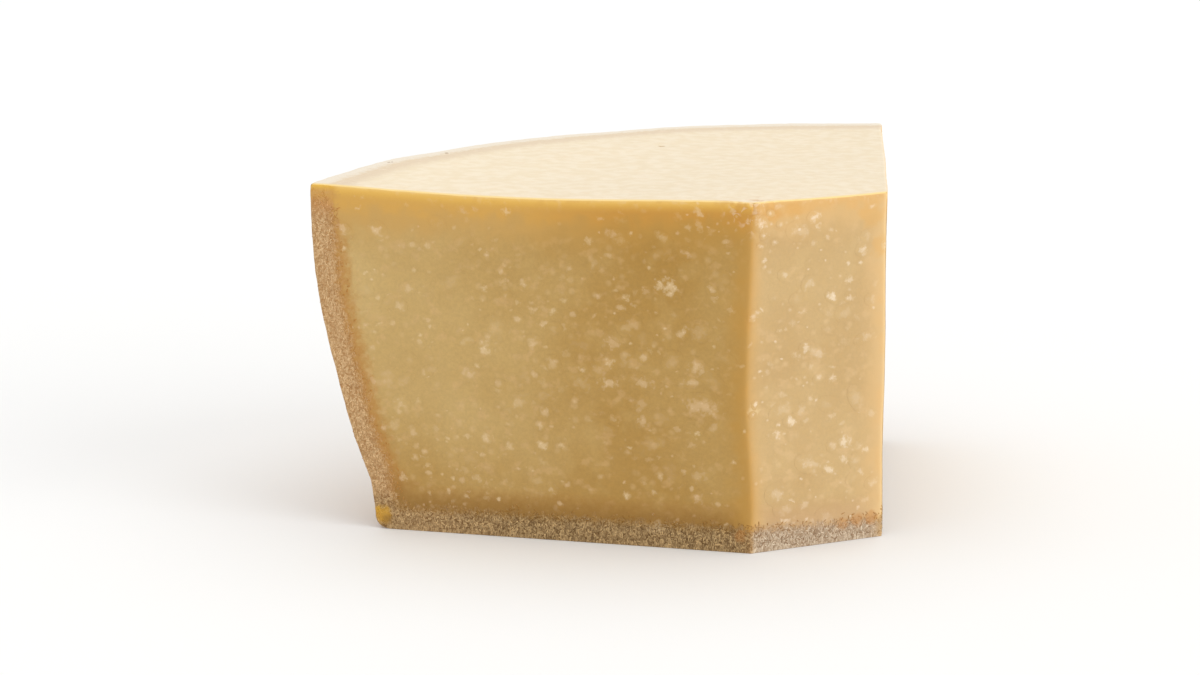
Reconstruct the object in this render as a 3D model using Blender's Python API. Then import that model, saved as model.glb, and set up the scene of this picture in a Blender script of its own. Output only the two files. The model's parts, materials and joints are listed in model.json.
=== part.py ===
"""A wedge of hard aged cheese, cut from the lower half of a large wheel.

The wedge stands on the wheel's flat underside, in metres with +Z up. Two upright cuts follow radii
of the wheel, a third takes off the tip, and a level cut at half the wheel's height makes the top.
The barrelled outer side and the underside keep their rind. The whole piece is one solid, made as a
box of cells that is bent to the wheel: along runs from the tip cut to the rind, turn from the front
cut to the back cut, and rise from the underside to the top.
"""

import math

import bmesh
import bpy
from mathutils import Vector, noise

# The wheel that the wedge was cut from.
WHEEL_HEIGHT = 0.250
BELLY_RADIUS_FRONT = 0.2085  # the widest radius where the front cut runs
BELLY_RADIUS_BACK = 0.2050  # and at the back cut, for the wheel is a little out of round
BELLY_BASE = 0.112  # the side stands upright from this height to the middle of the wheel
HEEL_HEIGHT = 0.018  # below it the flank turns into the foot
HEEL_INSET = 0.0204  # how far the heel lies inside the belly
FLANK_POWER = 1.68  # how fast the flank curves in below the belly
FOOT_INSET = 0.0020  # how far the foot's lower end lies inside the heel
CORNER_RADIUS = 0.0055  # between the foot and the flat underside

# The cuts.
WEDGE_HEIGHT = WHEEL_HEIGHT / 2
WEDGE_ANGLE = math.radians(79.45)
TIP_FRONT = 0.0470  # from the wheel's axis to the tip cut, along the front cut
TIP_BACK = 0.0355  # and along the back cut
EDGE_ROUND = 0.0008
EDGE_SEGMENTS = 2
EDGE_PROFILE = 0.5  # a circular arc
EDGE_ANGLE = math.radians(30)

# What the knife left uneven.
TOP_DIP = 0.0018  # how far the top sags along the front cut
TOP_DIP_START = 0.060  # radii between which it sags
TOP_DIP_END = 0.206
TOP_DIP_POWER = 1.3  # how quickly the dip fades towards both radii
TOP_DIP_BACK_SHARE = 0.3  # how much of the dip is left at the back cut
TOP_DIP_RISE_POWER = 4  # how quickly the dip fades below the top
BOW_DEPTH = 0.0021  # how far the edge between the front and tip cuts is hollowed
BOW_HEIGHT = 0.058  # where it is hollowed most
BOW_RISE = 0.068  # how far above that the hollow ends
BOW_RISE_POWER = 1
BOW_FALL = 0.047  # and how far below
BOW_FALL_POWER = 2
BOW_TURN_POWER = 1.5  # how quickly the hollow fades towards the back cut
RIPPLE_DEPTH = 0.00045
RIPPLE_SIZE = 0.045
RIND_RIPPLE_DEPTH = 0.0006
RIND_RIPPLE_SIZE = 0.032
RIND_RIPPLE_POWER = 6  # how close to the rind the cuts take on its ripple
SETTLED_HEIGHT = 0.010  # the ripples fade out over this height, so that the underside is flat
RIPPLE_SEED = 1796086580  # without one, the noise starts from the clock and no two builds are alike

# The cells.
ALONG_CELLS = 26
TURN_CELLS = 24
CORNER_CELLS = 4
FOOT_CELLS = 3
FLANK_CELLS = 14
ALONG_CROWDING = 0.6  # cells are this much shorter at the ends than in the middle
TURN_CROWDING = 0.3
FLANK_CROWDING = 0.45

PASTE_COLOUR = (0.62, 0.41, 0.16, 1.0)
PASTE_ROUGHNESS = 0.55
RIND_COLOUR = (0.50, 0.31, 0.14, 1.0)
RIND_ROUGHNESS = 0.7


def clear_scene():
    """Remove the objects that the file opened with."""
    for obj in list(bpy.data.objects):
        bpy.data.objects.remove(obj, do_unlink=True)


def make_material(name, colour, roughness):
    """A matte surface of one colour."""
    material = bpy.data.materials.new(name)
    material.use_nodes = True
    shader = material.node_tree.nodes["Principled BSDF"]
    shader.inputs["Base Color"].default_value = colour
    shader.inputs["Roughness"].default_value = roughness
    shader.inputs["Metallic"].default_value = 0.0
    material.diffuse_color = colour
    return material


def crowded(cells, crowding):
    """Shares from 0 to 1, closer together towards both ends."""
    shares = [step / cells for step in range(cells + 1)]
    return [share - crowding * math.sin(2 * math.pi * share) / (2 * math.pi) for share in shares]


def rise_levels():
    """Heights of the cells' corners, from the underside to the top."""
    quarter = math.pi / 2
    corner = [
        CORNER_RADIUS * (1 - math.cos(quarter * step / CORNER_CELLS)) for step in range(CORNER_CELLS)
    ]
    foot_height = HEEL_HEIGHT - CORNER_RADIUS
    foot = [CORNER_RADIUS + foot_height * step / FOOT_CELLS for step in range(FOOT_CELLS)]
    flank_height = WEDGE_HEIGHT - HEEL_HEIGHT
    flank = [HEEL_HEIGHT + flank_height * share for share in crowded(FLANK_CELLS, FLANK_CROWDING)]
    return corner + foot + flank


def rind_inset(height):
    """How far the rind lies inside the belly's radius at a height."""
    if height >= HEEL_HEIGHT:
        below_belly = max(BELLY_BASE - height, 0.0) / (BELLY_BASE - HEEL_HEIGHT)
        return HEEL_INSET * below_belly**FLANK_POWER
    down_the_foot = min((HEEL_HEIGHT - height) / (HEEL_HEIGHT - CORNER_RADIUS), 1.0)
    inset = HEEL_INSET + FOOT_INSET * down_the_foot
    below_corner = max(CORNER_RADIUS - height, 0.0)
    return inset + CORNER_RADIUS - math.sqrt(CORNER_RADIUS**2 - below_corner**2)


def rind_radius(turn, height):
    """The wheel's radius at a turn between the cuts and at a height."""
    belly = BELLY_RADIUS_FRONT + (BELLY_RADIUS_BACK - BELLY_RADIUS_FRONT) * turn
    return belly - rind_inset(height)


def direction(turn):
    """The unit vector from the wheel's axis at a turn between the cuts. The front cut runs along -X."""
    angle = math.pi - WEDGE_ANGLE * turn
    return Vector((math.cos(angle), math.sin(angle), 0.0))


def bow(height):
    """How deep the front edge of the tip cut is hollowed at a height."""
    if height > BOW_HEIGHT:
        span, power = BOW_RISE, BOW_RISE_POWER
    else:
        span, power = BOW_FALL, BOW_FALL_POWER
    share = min(abs(height - BOW_HEIGHT) / span, 1.0)
    return BOW_DEPTH * math.cos(share * math.pi / 2) ** power


def tip_radius(turn, height):
    """From the axis to the tip cut, which is hollowed at its front edge."""
    front = direction(0.0) * TIP_FRONT
    back = direction(1.0) * TIP_BACK
    run = back - front
    flat = front.xy.cross(run.xy) / direction(turn).xy.cross(run.xy)
    return flat + bow(height) * (1 - turn) ** BOW_TURN_POWER


def top_dip(radius, turn):
    """How far the top lies under its level at a radius and a turn."""
    share = (radius - TOP_DIP_START) / (TOP_DIP_END - TOP_DIP_START)
    if not 0.0 < share < 1.0:
        return 0.0
    fading = 1 - (1 - TOP_DIP_BACK_SHARE) * turn
    return TOP_DIP * fading * math.sin(math.pi * share) ** TOP_DIP_POWER


def ripple(point, along):
    """The small unevenness of the cuts and, towards the rind, of the moulded side."""
    settled = min(point.z / SETTLED_HEIGHT, 1.0)
    cut = noise.noise_vector(point / RIPPLE_SIZE) * RIPPLE_DEPTH
    rind = noise.noise_vector(point / RIND_RIPPLE_SIZE) * RIND_RIPPLE_DEPTH
    return cut.lerp(rind, along**RIND_RIPPLE_POWER) * settled


def bent(along, turn, height):
    """The place of one cell corner, measured from the wheel's axis at the underside."""
    inner = tip_radius(turn, height)
    radius = inner + (rind_radius(turn, height) - inner) * along
    sunk = top_dip(radius, turn) * (height / WEDGE_HEIGHT) ** TOP_DIP_RISE_POWER
    point = direction(turn) * radius + Vector((0.0, 0.0, height - sunk))
    return point + ripple(point, along)


def box_sides(counts):
    """The corners of each outer cell face of a box of cells, as index triples, facing outwards."""
    for axis in range(3):
        across, up = (axis + 1) % 3, (axis + 2) % 3
        for end in (0, counts[axis]):
            for i in range(counts[across]):
                for j in range(counts[up]):
                    face = []
                    for di, dj in ((0, 0), (1, 0), (1, 1), (0, 1)):
                        corner = [0, 0, 0]
                        corner[axis] = end
                        corner[across] = i + di
                        corner[up] = j + dj
                        face.append(tuple(corner))
                    yield face


def bent_box():
    """The outer faces of the box of cells, bent to the wheel and cut."""
    along = crowded(ALONG_CELLS, ALONG_CROWDING)
    turn = crowded(TURN_CELLS, TURN_CROWDING)
    rise = rise_levels()
    mesh = bmesh.new()
    corners = {}
    for face in box_sides((len(along) - 1, len(turn) - 1, len(rise) - 1)):
        for i, j, k in face:
            if (i, j, k) not in corners:
                corners[i, j, k] = mesh.verts.new(bent(along[i], turn[j], rise[k]))
        made = mesh.faces.new([corners[key] for key in face])
        is_rind = all(key[0] == len(along) - 1 for key in face) or all(key[2] == 0 for key in face)
        made.material_index = int(is_rind)
    bmesh.ops.recalc_face_normals(mesh, faces=mesh.faces)
    return mesh


def soften_edges(mesh):
    """Round the edges between the cuts, and leave those round the flat underside sharp."""
    edges = [
        edge
        for edge in mesh.edges
        if edge.calc_face_angle() > EDGE_ANGLE and max(vert.co.z for vert in edge.verts) > 0.0
    ]
    bmesh.ops.bevel(
        mesh,
        geom=edges,
        offset=EDGE_ROUND,
        offset_type="OFFSET",
        segments=EDGE_SEGMENTS,
        profile=EDGE_PROFILE,
        affect="EDGES",
        clamp_overlap=True,
    )


def centre_on_base(mesh):
    """Move the origin from the wheel's axis to under the middle of the wedge."""
    lowest = Vector([min(vert.co[axis] for vert in mesh.verts) for axis in range(3)])
    highest = Vector([max(vert.co[axis] for vert in mesh.verts) for axis in range(3)])
    middle = (lowest + highest) / 2
    bmesh.ops.translate(mesh, verts=mesh.verts, vec=(-middle.x, -middle.y, -lowest.z))


def make_wedge():
    """The whole piece of cheese, as one object."""
    mesh = bent_box()
    soften_edges(mesh)
    centre_on_base(mesh)
    bmesh.ops.triangulate(mesh, faces=mesh.faces)
    data = bpy.data.meshes.new("cheese_wedge")
    mesh.to_mesh(data)
    mesh.free()
    data.materials.append(make_material("paste", PASTE_COLOUR, PASTE_ROUGHNESS))
    data.materials.append(make_material("rind", RIND_COLOUR, RIND_ROUGHNESS))
    data.shade_smooth()
    data.set_sharp_from_angle(angle=EDGE_ANGLE)
    wedge = bpy.data.objects.new("cheese_wedge", data)
    bpy.context.scene.collection.objects.link(wedge)
    return wedge


def main():
    """Clear the scene and make the wedge."""
    clear_scene()
    noise.seed_set(RIPPLE_SEED)
    make_wedge()


main()
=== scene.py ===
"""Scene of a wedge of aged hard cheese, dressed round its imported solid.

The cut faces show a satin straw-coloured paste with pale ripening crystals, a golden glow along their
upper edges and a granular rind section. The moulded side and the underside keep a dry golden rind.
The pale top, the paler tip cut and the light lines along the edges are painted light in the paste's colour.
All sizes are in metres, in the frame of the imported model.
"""

import json
import logging
import math
from collections.abc import Sequence
from dataclasses import dataclass, field
from enum import Enum

import bpy
import numpy as np
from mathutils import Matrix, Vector, noise

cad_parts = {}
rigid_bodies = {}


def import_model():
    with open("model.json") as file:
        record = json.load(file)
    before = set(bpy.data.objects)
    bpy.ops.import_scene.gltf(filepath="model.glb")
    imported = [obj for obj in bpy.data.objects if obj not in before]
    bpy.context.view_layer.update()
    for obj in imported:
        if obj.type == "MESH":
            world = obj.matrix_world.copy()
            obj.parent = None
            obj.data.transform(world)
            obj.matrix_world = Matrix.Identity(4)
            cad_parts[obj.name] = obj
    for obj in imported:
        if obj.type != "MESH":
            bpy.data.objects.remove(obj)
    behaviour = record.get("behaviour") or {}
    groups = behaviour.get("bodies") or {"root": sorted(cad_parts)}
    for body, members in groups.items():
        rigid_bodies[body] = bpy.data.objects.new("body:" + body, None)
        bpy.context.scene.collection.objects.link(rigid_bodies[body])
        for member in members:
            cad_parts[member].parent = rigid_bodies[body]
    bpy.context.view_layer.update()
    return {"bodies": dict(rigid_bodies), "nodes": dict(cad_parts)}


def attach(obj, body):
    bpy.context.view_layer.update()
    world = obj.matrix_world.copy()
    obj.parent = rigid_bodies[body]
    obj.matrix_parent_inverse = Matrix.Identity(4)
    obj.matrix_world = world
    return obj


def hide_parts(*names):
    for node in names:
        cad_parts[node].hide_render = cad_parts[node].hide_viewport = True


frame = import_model()

LOG = logging.getLogger("cheese_wedge")
Colour = tuple[float, float, float]
Socket = bpy.types.NodeSocket
Ramp = tuple[float, ...]  # low and high, then start and end where they aren't 0 and 1
Fading = tuple[float, float]  # a strength and a reach
MILLIMETRES = 1000  # in a metre
CLUSTER_THICKNESS = 0.00005
LUMP_SHARP_ANGLE = math.radians(60)


def linear(colour: Colour) -> tuple[float, float, float, float]:
    """Turn a screen colour into the shader's linear one.

    Args:
        colour: Red, green and blue from 0 to 255.

    Returns:
        Red, green, blue and an alpha of 1, linear.
    """
    shares = [channel / 255 for channel in colour]
    curved = [share / 12.92 if share <= 0.04045 else ((share + 0.055) / 1.055) ** 2.4 for share in shares]
    return (*curved, 1.0)


def fade(value: np.ndarray, low: float, high: float) -> np.ndarray:
    """Run smoothly from 0 at low to 1 at high.

    Args:
        value: The numbers to place between the limits.
        low: Where the result is 0.
        high: Where the result is 1. It may lie below low.

    Returns:
        Shares from 0 to 1.
    """
    share = np.clip((value - low) / (high - low), 0.0, 1.0)
    return share * share * (3 - 2 * share)


@dataclass(frozen=True)
class Unevenness:
    """A smooth noise over places: how far it swings, how large its features are, and its pattern's shift."""

    swing: float
    size: float
    shift: float = 0.0

    def at(self, points: np.ndarray) -> np.ndarray:
        """Give a number near -swing to swing for each row of three coordinates."""
        offset = Vector((self.shift, -self.shift, self.shift * 0.5))
        values = [noise.noise(Vector(point) / self.size + offset) for point in points.tolist()]
        return self.swing * np.array(values)


class Side(Enum):
    """The wedge's sides above its underside, each as the grid axis that it closes and at which end."""

    TIP = (0, 0)
    FLANK = (0, 1)
    FRONT = (1, 0)
    BACK = (1, 1)
    TOP = (2, 1)


class Skin(Enum):
    """The wedge's material slots."""

    CUT = 0
    RIND = 1


# The third mark is the share of painted light that pales the top, the tip cut and the edges.
CARRIED = ("rind_depth", "edge_glow", "whiteness")


class PointSource(Enum):
    """Where a lump tree takes its points from."""

    MARKS = "marks"
    SURFACE = "surface"


@dataclass(frozen=True)
class WheelForm:
    """The wheel that the wedge was cut from and the cuts through it, measured from the wheel's axis."""

    axis_foot: tuple[float, float, float] = (0.107535, -0.100615, 0.0)
    height: float = 0.125
    belly_front: float = 0.2085
    belly_back: float = 0.2050
    belly_base: float = 0.112
    heel_height: float = 0.018
    heel_inset: float = 0.0204
    flank_power: float = 1.68
    foot_inset: float = 0.0020
    corner_radius: float = 0.0055
    angle: float = math.radians(79.45)
    tip_front: float = 0.0470
    tip_back: float = 0.0355
    top_dip: float = 0.0018
    dip_start: float = 0.060
    dip_end: float = 0.206
    dip_back_share: float = 0.3
    dip_power: float = 1.3
    dip_rise_power: int = 4
    bow_depth: float = 0.0021
    bow_height: float = 0.058
    bow_rise: float = 0.068
    bow_fall: float = 0.047
    bow_fall_power: int = 2
    bow_turn_power: float = 1.5
    ripple_depth: float = 0.00045
    ripple_size: float = 0.045
    rind_ripple_depth: float = 0.0006
    rind_ripple_size: float = 0.032
    rind_ripple_power: int = 6
    settled_height: float = 0.010
    ripple_seed: int = 1796086580

    def rind_inset(self, height: np.ndarray) -> np.ndarray:
        """Tell how far the rind lies inside the belly's radius.

        Args:
            height: Heights above the underside.

        Returns:
            The inset at each height.
        """
        below_belly = np.maximum(self.belly_base - height, 0.0) / (self.belly_base - self.heel_height)
        flank = self.heel_inset * below_belly**self.flank_power
        down = np.clip((self.heel_height - height) / (self.heel_height - self.corner_radius), 0.0, 1.0)
        below_corner = np.maximum(self.corner_radius - height, 0.0)
        corner = self.corner_radius - np.sqrt(self.corner_radius**2 - below_corner**2)
        foot = self.heel_inset + self.foot_inset * down + corner
        return np.where(height >= self.heel_height, flank, foot)

    def rind_radius(self, turn: np.ndarray, height: np.ndarray) -> np.ndarray:
        """Give the wheel's radius at turns between the cuts and at heights."""
        return self.belly_front + (self.belly_back - self.belly_front) * turn - self.rind_inset(height)

    def direction(self, turn: np.ndarray) -> np.ndarray:
        """Give the unit vectors from the axis at turns from the front cut, 0, to the back cut, 1."""
        bearing = math.pi - self.angle * np.asarray(turn, dtype=float)
        return np.stack([np.cos(bearing), np.sin(bearing), np.zeros_like(bearing)], axis=-1)

    def tip_run(self) -> np.ndarray:
        """Give the vector along the tip cut, from its front edge to its back edge."""
        return self.direction(1.0) * self.tip_back - self.direction(0.0) * self.tip_front

    def tip_normal(self) -> np.ndarray:
        """Give the tip cut's outward direction."""
        run = self.tip_run()
        return np.array([run[1], -run[0], 0.0]) / np.linalg.norm(run)

    def tip_radius(self, turn: np.ndarray, height: np.ndarray) -> np.ndarray:
        """Measure from the axis to the tip cut, which is hollowed at its front edge.

        Args:
            turn: Turns from the front cut to the back cut.
            height: Heights above the underside.

        Returns:
            The radius at each place.
        """
        start = self.direction(0.0) * self.tip_front
        run = self.tip_run()
        bearing = self.direction(turn)
        flat = (start[0] * run[1] - start[1] * run[0]) / (bearing[..., 0] * run[1] - bearing[..., 1] * run[0])
        above = np.cos(np.clip((height - self.bow_height) / self.bow_rise, 0.0, 1.0) * math.pi / 2)
        below = np.cos(np.clip((self.bow_height - height) / self.bow_fall, 0.0, 1.0) * math.pi / 2)
        bow = self.bow_depth * above * below**self.bow_fall_power
        return flat + bow * (1 - turn) ** self.bow_turn_power

    def on_tip(self, across: float, up: float) -> np.ndarray:
        """Give a place on the tip cut.

        Args:
            across: Millimetres from its front edge.
            up: Millimetres from the underside.

        Returns:
            The place in the model's frame.
        """
        run = self.tip_run()
        start = np.array(self.axis_foot) + self.direction(0.0) * self.tip_front
        along = run / np.linalg.norm(run) * across / MILLIMETRES
        return start + along + np.array([0.0, 0.0, up / MILLIMETRES])

    def from_near_corner(self, points: np.ndarray) -> np.ndarray:
        """Measure how far places in the model's frame lie from the upper near corner."""
        return np.linalg.norm(points - self.on_tip(0.0, self.height * MILLIMETRES), axis=1)

    def sag(self, radius: np.ndarray, turn: np.ndarray, height: np.ndarray) -> np.ndarray:
        """Tell how far the places under the sagging top lie below their level.

        Args:
            radius: Distances from the axis.
            turn: Turns from the front cut to the back cut.
            height: Heights above the underside.

        Returns:
            The sag at each place.
        """
        share = np.clip((radius - self.dip_start) / (self.dip_end - self.dip_start), 0.0, 1.0)
        fading = 1 - (1 - self.dip_back_share) * turn
        depth = self.top_dip * fading * np.sin(math.pi * share) ** self.dip_power
        return depth * (height / self.height) ** self.dip_rise_power

    def ripple(self, points: np.ndarray, along: np.ndarray) -> np.ndarray:
        """Give the small unevenness of the cuts and, towards the rind, of the moulded side.

        The vector noise starts from the clock unless it is seeded.

        Args:
            points: Places measured from the axis.
            along: Shares of the way from the tip cut to the rind.

        Returns:
            A move for each point.
        """
        noise.seed_set(self.ripple_seed)
        moves = np.empty_like(points)
        for index, (point, share) in enumerate(zip(points.tolist(), along.tolist())):
            place = Vector(point)
            cut = noise.noise_vector(place / self.ripple_size) * self.ripple_depth
            rind = noise.noise_vector(place / self.rind_ripple_size) * self.rind_ripple_depth
            settled = min(place.z / self.settled_height, 1.0)
            moves[index] = cut.lerp(rind, share**self.rind_ripple_power) * settled
        return moves


def placed(name: str, data: bpy.types.ID) -> bpy.types.Object:
    """Put a mesh, a light or a camera into the scene."""
    made = bpy.data.objects.new(name, data)
    bpy.context.scene.collection.objects.link(made)
    return made


def graded(runs: Sequence[tuple[float, float]]) -> np.ndarray:
    """Lay stations along a length, closer together where the cells are small.

    Args:
        runs: Pairs of a run's length and its cell length, in order.

    Returns:
        Stations from 0 to 1.
    """
    stations = [0.0]
    for length, cell in runs:
        cells = max(round(length / cell), 1)
        start = stations[-1]
        stations.extend(start + length * (step + 1) / cells for step in range(cells))
    return np.array(stations) / stations[-1]


@dataclass(frozen=True)
class Dent:
    """A small pit or chip in the surface."""

    place: tuple[float, float, float]
    reach: tuple[float, float, float]
    depth: float

    def share(self, points: np.ndarray) -> np.ndarray:
        """Tell how deep in the dent each point lies, from 0 outside to 1 at its middle."""
        offsets = (points - np.array(self.place)) / np.array(self.reach)
        return fade(np.linalg.norm(offsets, axis=1), 1.0, 0.0)


@dataclass
class CutGrid:
    """The outer places of the wedge's box of cells, with the sides that each lies on."""

    form: WheelForm
    along_runs: tuple = (
        (0.0007, 0.00035), (0.0018, 0.0009), (0.0070, 0.0009), (0.1373, 0.0015), (0.0140, 0.0007),
        (0.0007, 0.00035),
    )
    turn_runs: tuple = (
        (0.0007, 0.00035), (0.0018, 0.0009), (0.2840, 0.0023), (0.0018, 0.0009), (0.0007, 0.00035),
    )
    rise_runs: tuple = (
        (0.0100, 0.0007), (0.0370, 0.0012), (0.0080, 0.0006), (0.0615, 0.0013), (0.0060, 0.0008),
        (0.0018, 0.0009), (0.0007, 0.00035),
    )
    base_stride: int = 6

    def __post_init__(self) -> None:
        """Number the outer places and note where each lies in the wheel."""
        self.stations = [graded(runs) for runs in (self.along_runs, self.turn_runs, self.rise_runs)]
        shape = tuple(len(stations) for stations in self.stations)
        outer = np.zeros(shape, dtype=bool)
        for side in (Side.TIP, Side.FLANK, Side.FRONT, Side.BACK, Side.TOP):
            outer[self.slab(side)] = True
        self.base_columns = [self.strided(shape[0]), self.strided(shape[1])]
        outer[np.ix_(self.base_columns[0], self.base_columns[1], [0])] = True
        self.number = np.full(shape, -1)
        self.cells = np.argwhere(outer)
        self.number[tuple(self.cells.T)] = np.arange(len(self.cells))
        self.along, self.turn, rise = (
            self.stations[axis][self.cells[:, axis]] for axis in range(3)
        )
        self.height = rise * self.form.height
        inner = self.form.tip_radius(self.turn, self.height)
        self.radius = inner + (self.form.rind_radius(self.turn, self.height) - inner) * self.along

    def strided(self, count: int) -> list[int]:
        """Give every few stations of the underside, with both ends."""
        return sorted({*range(0, count - 1, self.base_stride), count - 1})

    @staticmethod
    def slab(side: Side) -> tuple:
        """Give the index that picks one side out of an array of all cells.

        Args:
            side: The side.

        Returns:
            The index.
        """
        axis, end = side.value
        index = [slice(None)] * 3
        index[axis] = -end
        return tuple(index)

    def on(self, side: Side) -> np.ndarray:
        """Tell which places lie on a side."""
        axis, end = side.value
        return self.cells[:, axis] == end * (len(self.stations[axis]) - 1)

    def points(self) -> np.ndarray:
        """Place every outer cell corner, measured from the axis.

        Returns:
            The places.
        """
        sag = self.form.sag(self.radius, self.turn, self.height)
        points = self.form.direction(self.turn) * self.radius[:, None]
        points[:, 2] = self.height - sag
        return points + self.form.ripple(points, self.along)

    def faces(self) -> tuple[list[list[int]], list[int]]:
        """Give the outer faces and their material slots.

        Returns:
            The corner numbers of each face, facing outwards, and one slot number for each face.
        """
        faces: list[list[int]] = []
        skins: list[int] = []
        for side in (Side.TIP, Side.FLANK, Side.FRONT, Side.BACK, Side.TOP):
            sheet = self.number[self.slab(side)]
            quads = np.stack([sheet[:-1, :-1], sheet[1:, :-1], sheet[1:, 1:], sheet[:-1, 1:]], axis=-1)
            if side in (Side.TIP, Side.BACK, Side.TOP):
                quads = quads[..., ::-1]
            faces.extend(quads.reshape(-1, 4).tolist())
            skin = Skin.RIND if side is Side.FLANK else Skin.CUT
            skins.extend([skin.value] * (quads.size // 4))
        underside = self.underside()
        faces.extend(underside)
        skins.extend([Skin.RIND.value] * len(underside))
        return faces, skins

    def underside(self) -> list[list[int]]:
        """Give the wide flat faces of the underside, which take in every corner along its rim.

        Returns:
            The corner numbers of each face.
        """
        last = [len(self.stations[0]) - 1, len(self.stations[1]) - 1]
        faces = []
        for low, high in zip(self.base_columns[0], self.base_columns[0][1:]):
            for near, far in zip(self.base_columns[1], self.base_columns[1][1:]):
                near_row = range(low, high) if near == 0 else (low,)
                high_row = range(near, far) if high == last[0] else (near,)
                far_row = range(high, low, -1) if far == last[1] else (high,)
                low_row = range(far, near, -1) if low == 0 else (far,)
                loop = [self.number[i, near, 0] for i in near_row]
                loop += [self.number[high, j, 0] for j in high_row]
                loop += [self.number[i, far, 0] for i in far_row]
                loop += [self.number[low, j, 0] for j in low_row]
                faces.append([int(corner) for corner in loop])
        return faces


@dataclass
class EdgeRounding:
    """Rounds the edges between the cuts and the rind, on an arc that touches both sides."""

    grid: CutGrid
    radius: float = 0.0009
    tip_radius: float = 0.0026
    nibbled: Unevenness = Unevenness(0.45, 0.006)
    worn: Unevenness = Unevenness(2.0, 0.0024, 8.0)
    worn_mean: float = 0.7
    worn_most: float = 2.0
    worn_reach: float = 0.006
    foot_fade: float = 0.005

    def normals(self) -> dict[Side, np.ndarray]:
        """Give each side's outward direction at every place.

        Returns:
            A unit vector for each place, by side.
        """
        form = self.grid.form
        back = form.direction(1.0)
        fixed = {
            Side.TIP: form.tip_normal(),
            Side.FRONT: np.array([0.0, -1.0, 0.0]),
            Side.BACK: np.array([back[1], -back[0], 0.0]),
            Side.TOP: np.array([0.0, 0.0, 1.0]),
        }
        count = len(self.grid.cells)
        normals = {side: np.tile(normal, (count, 1)) for side, normal in fixed.items()}
        normals[Side.FLANK] = form.direction(self.grid.turn)
        return normals

    def reaches(self) -> dict[tuple[Side, Side], np.ndarray]:
        """Measure, on each side, how far every place lies from each edge.

        Returns:
            The distance along the first side of the key from its edge with the second one.
        """
        grid, form = self.grid, self.grid.form
        radius, turn, height = grid.radius, grid.turn, grid.height
        outward = -(form.direction(turn) * form.tip_normal()).sum(axis=1)
        below_top = form.height - height
        from_tip = radius - form.tip_radius(turn, height)
        from_rind = form.rind_radius(turn, height) - radius
        spot = form.direction(turn) * radius[:, None]
        front_edge = form.direction(0.0) * form.tip_radius(np.zeros_like(height), height)[:, None]
        back_edge = form.direction(1.0) * form.tip_radius(np.ones_like(height), height)[:, None]
        return {
            (Side.FRONT, Side.TIP): from_tip,
            (Side.TIP, Side.FRONT): np.linalg.norm(spot - front_edge, axis=1),
            (Side.BACK, Side.TIP): from_tip,
            (Side.TIP, Side.BACK): np.linalg.norm(spot - back_edge, axis=1),
            (Side.FRONT, Side.FLANK): from_rind,
            (Side.FLANK, Side.FRONT): turn * form.angle * radius,
            (Side.BACK, Side.FLANK): from_rind,
            (Side.FLANK, Side.BACK): (1 - turn) * form.angle * radius,
            (Side.TOP, Side.FRONT): np.sin(turn * form.angle) * radius,
            (Side.FRONT, Side.TOP): below_top,
            (Side.TOP, Side.BACK): np.sin((1 - turn) * form.angle) * radius,
            (Side.BACK, Side.TOP): below_top,
            (Side.TOP, Side.FLANK): from_rind,
            (Side.FLANK, Side.TOP): below_top,
            (Side.TOP, Side.TIP): from_tip * outward,
            (Side.TIP, Side.TOP): below_top,
        }

    def moves(self, points: np.ndarray) -> np.ndarray:
        """Move the places near an edge onto its arc.

        Args:
            points: The sharp-edged places.

        Returns:
            A move for each place.
        """
        normals, reaches = self.normals(), self.reaches()
        uneven = 1 + self.nibbled.at(points)
        corner = self.grid.form.from_near_corner(points + np.array(self.grid.form.axis_foot))
        worn = np.clip(self.worn_mean + self.worn.at(points), 0.0, self.worn_most)
        uneven += np.exp(-corner / self.worn_reach) * worn
        settled = np.clip(self.grid.height / self.foot_fade, 0.0, 1.0)
        moves = np.zeros_like(points)
        done = set()
        for side, other in reaches:
            shared = self.grid.on(side) & self.grid.on(other)
            mask = self.grid.on(side) & ~(shared if (other, side) in done else False)
            done.add((side, other))
            upright_tip = {side, other} in ({Side.TIP, Side.FRONT}, {Side.TIP, Side.BACK})
            size = (self.tip_radius if upright_tip else self.radius) * uneven * settled
            moves += self.arc(mask, reaches[side, other], normals[side], normals[other], size)
        return moves

    @staticmethod
    def arc(
        mask: np.ndarray, reach: np.ndarray, normal: np.ndarray, other: np.ndarray, size: np.ndarray
    ) -> np.ndarray:
        """Bend the edge of one side with another onto an arc.

        Args:
            mask: The places that may move.
            reach: How far each lies from the edge, along its side.
            normal: Its side's outward direction.
            other: The neighbouring side's outward direction.
            size: The arc's radius.

        Returns:
            A move for each place.
        """
        cosine = (normal * other).sum(axis=1)
        bend = np.arccos(cosine)
        touch = np.maximum(size * np.tan(bend / 2), 1e-9)
        swing = (bend / 2 * np.clip(1 - reach / touch, 0.0, 1.0))[:, None]
        toward = (other - normal * cosine[:, None]) / np.sin(bend)[:, None]
        centre = -(normal + other) / (1 + cosine)[:, None]
        on_arc = (centre + normal * np.cos(swing) + toward * np.sin(swing)) * size[:, None]
        near = (mask & (reach < touch))[:, None]
        return np.where(near, on_arc + toward * reach[:, None], 0.0)


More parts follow.
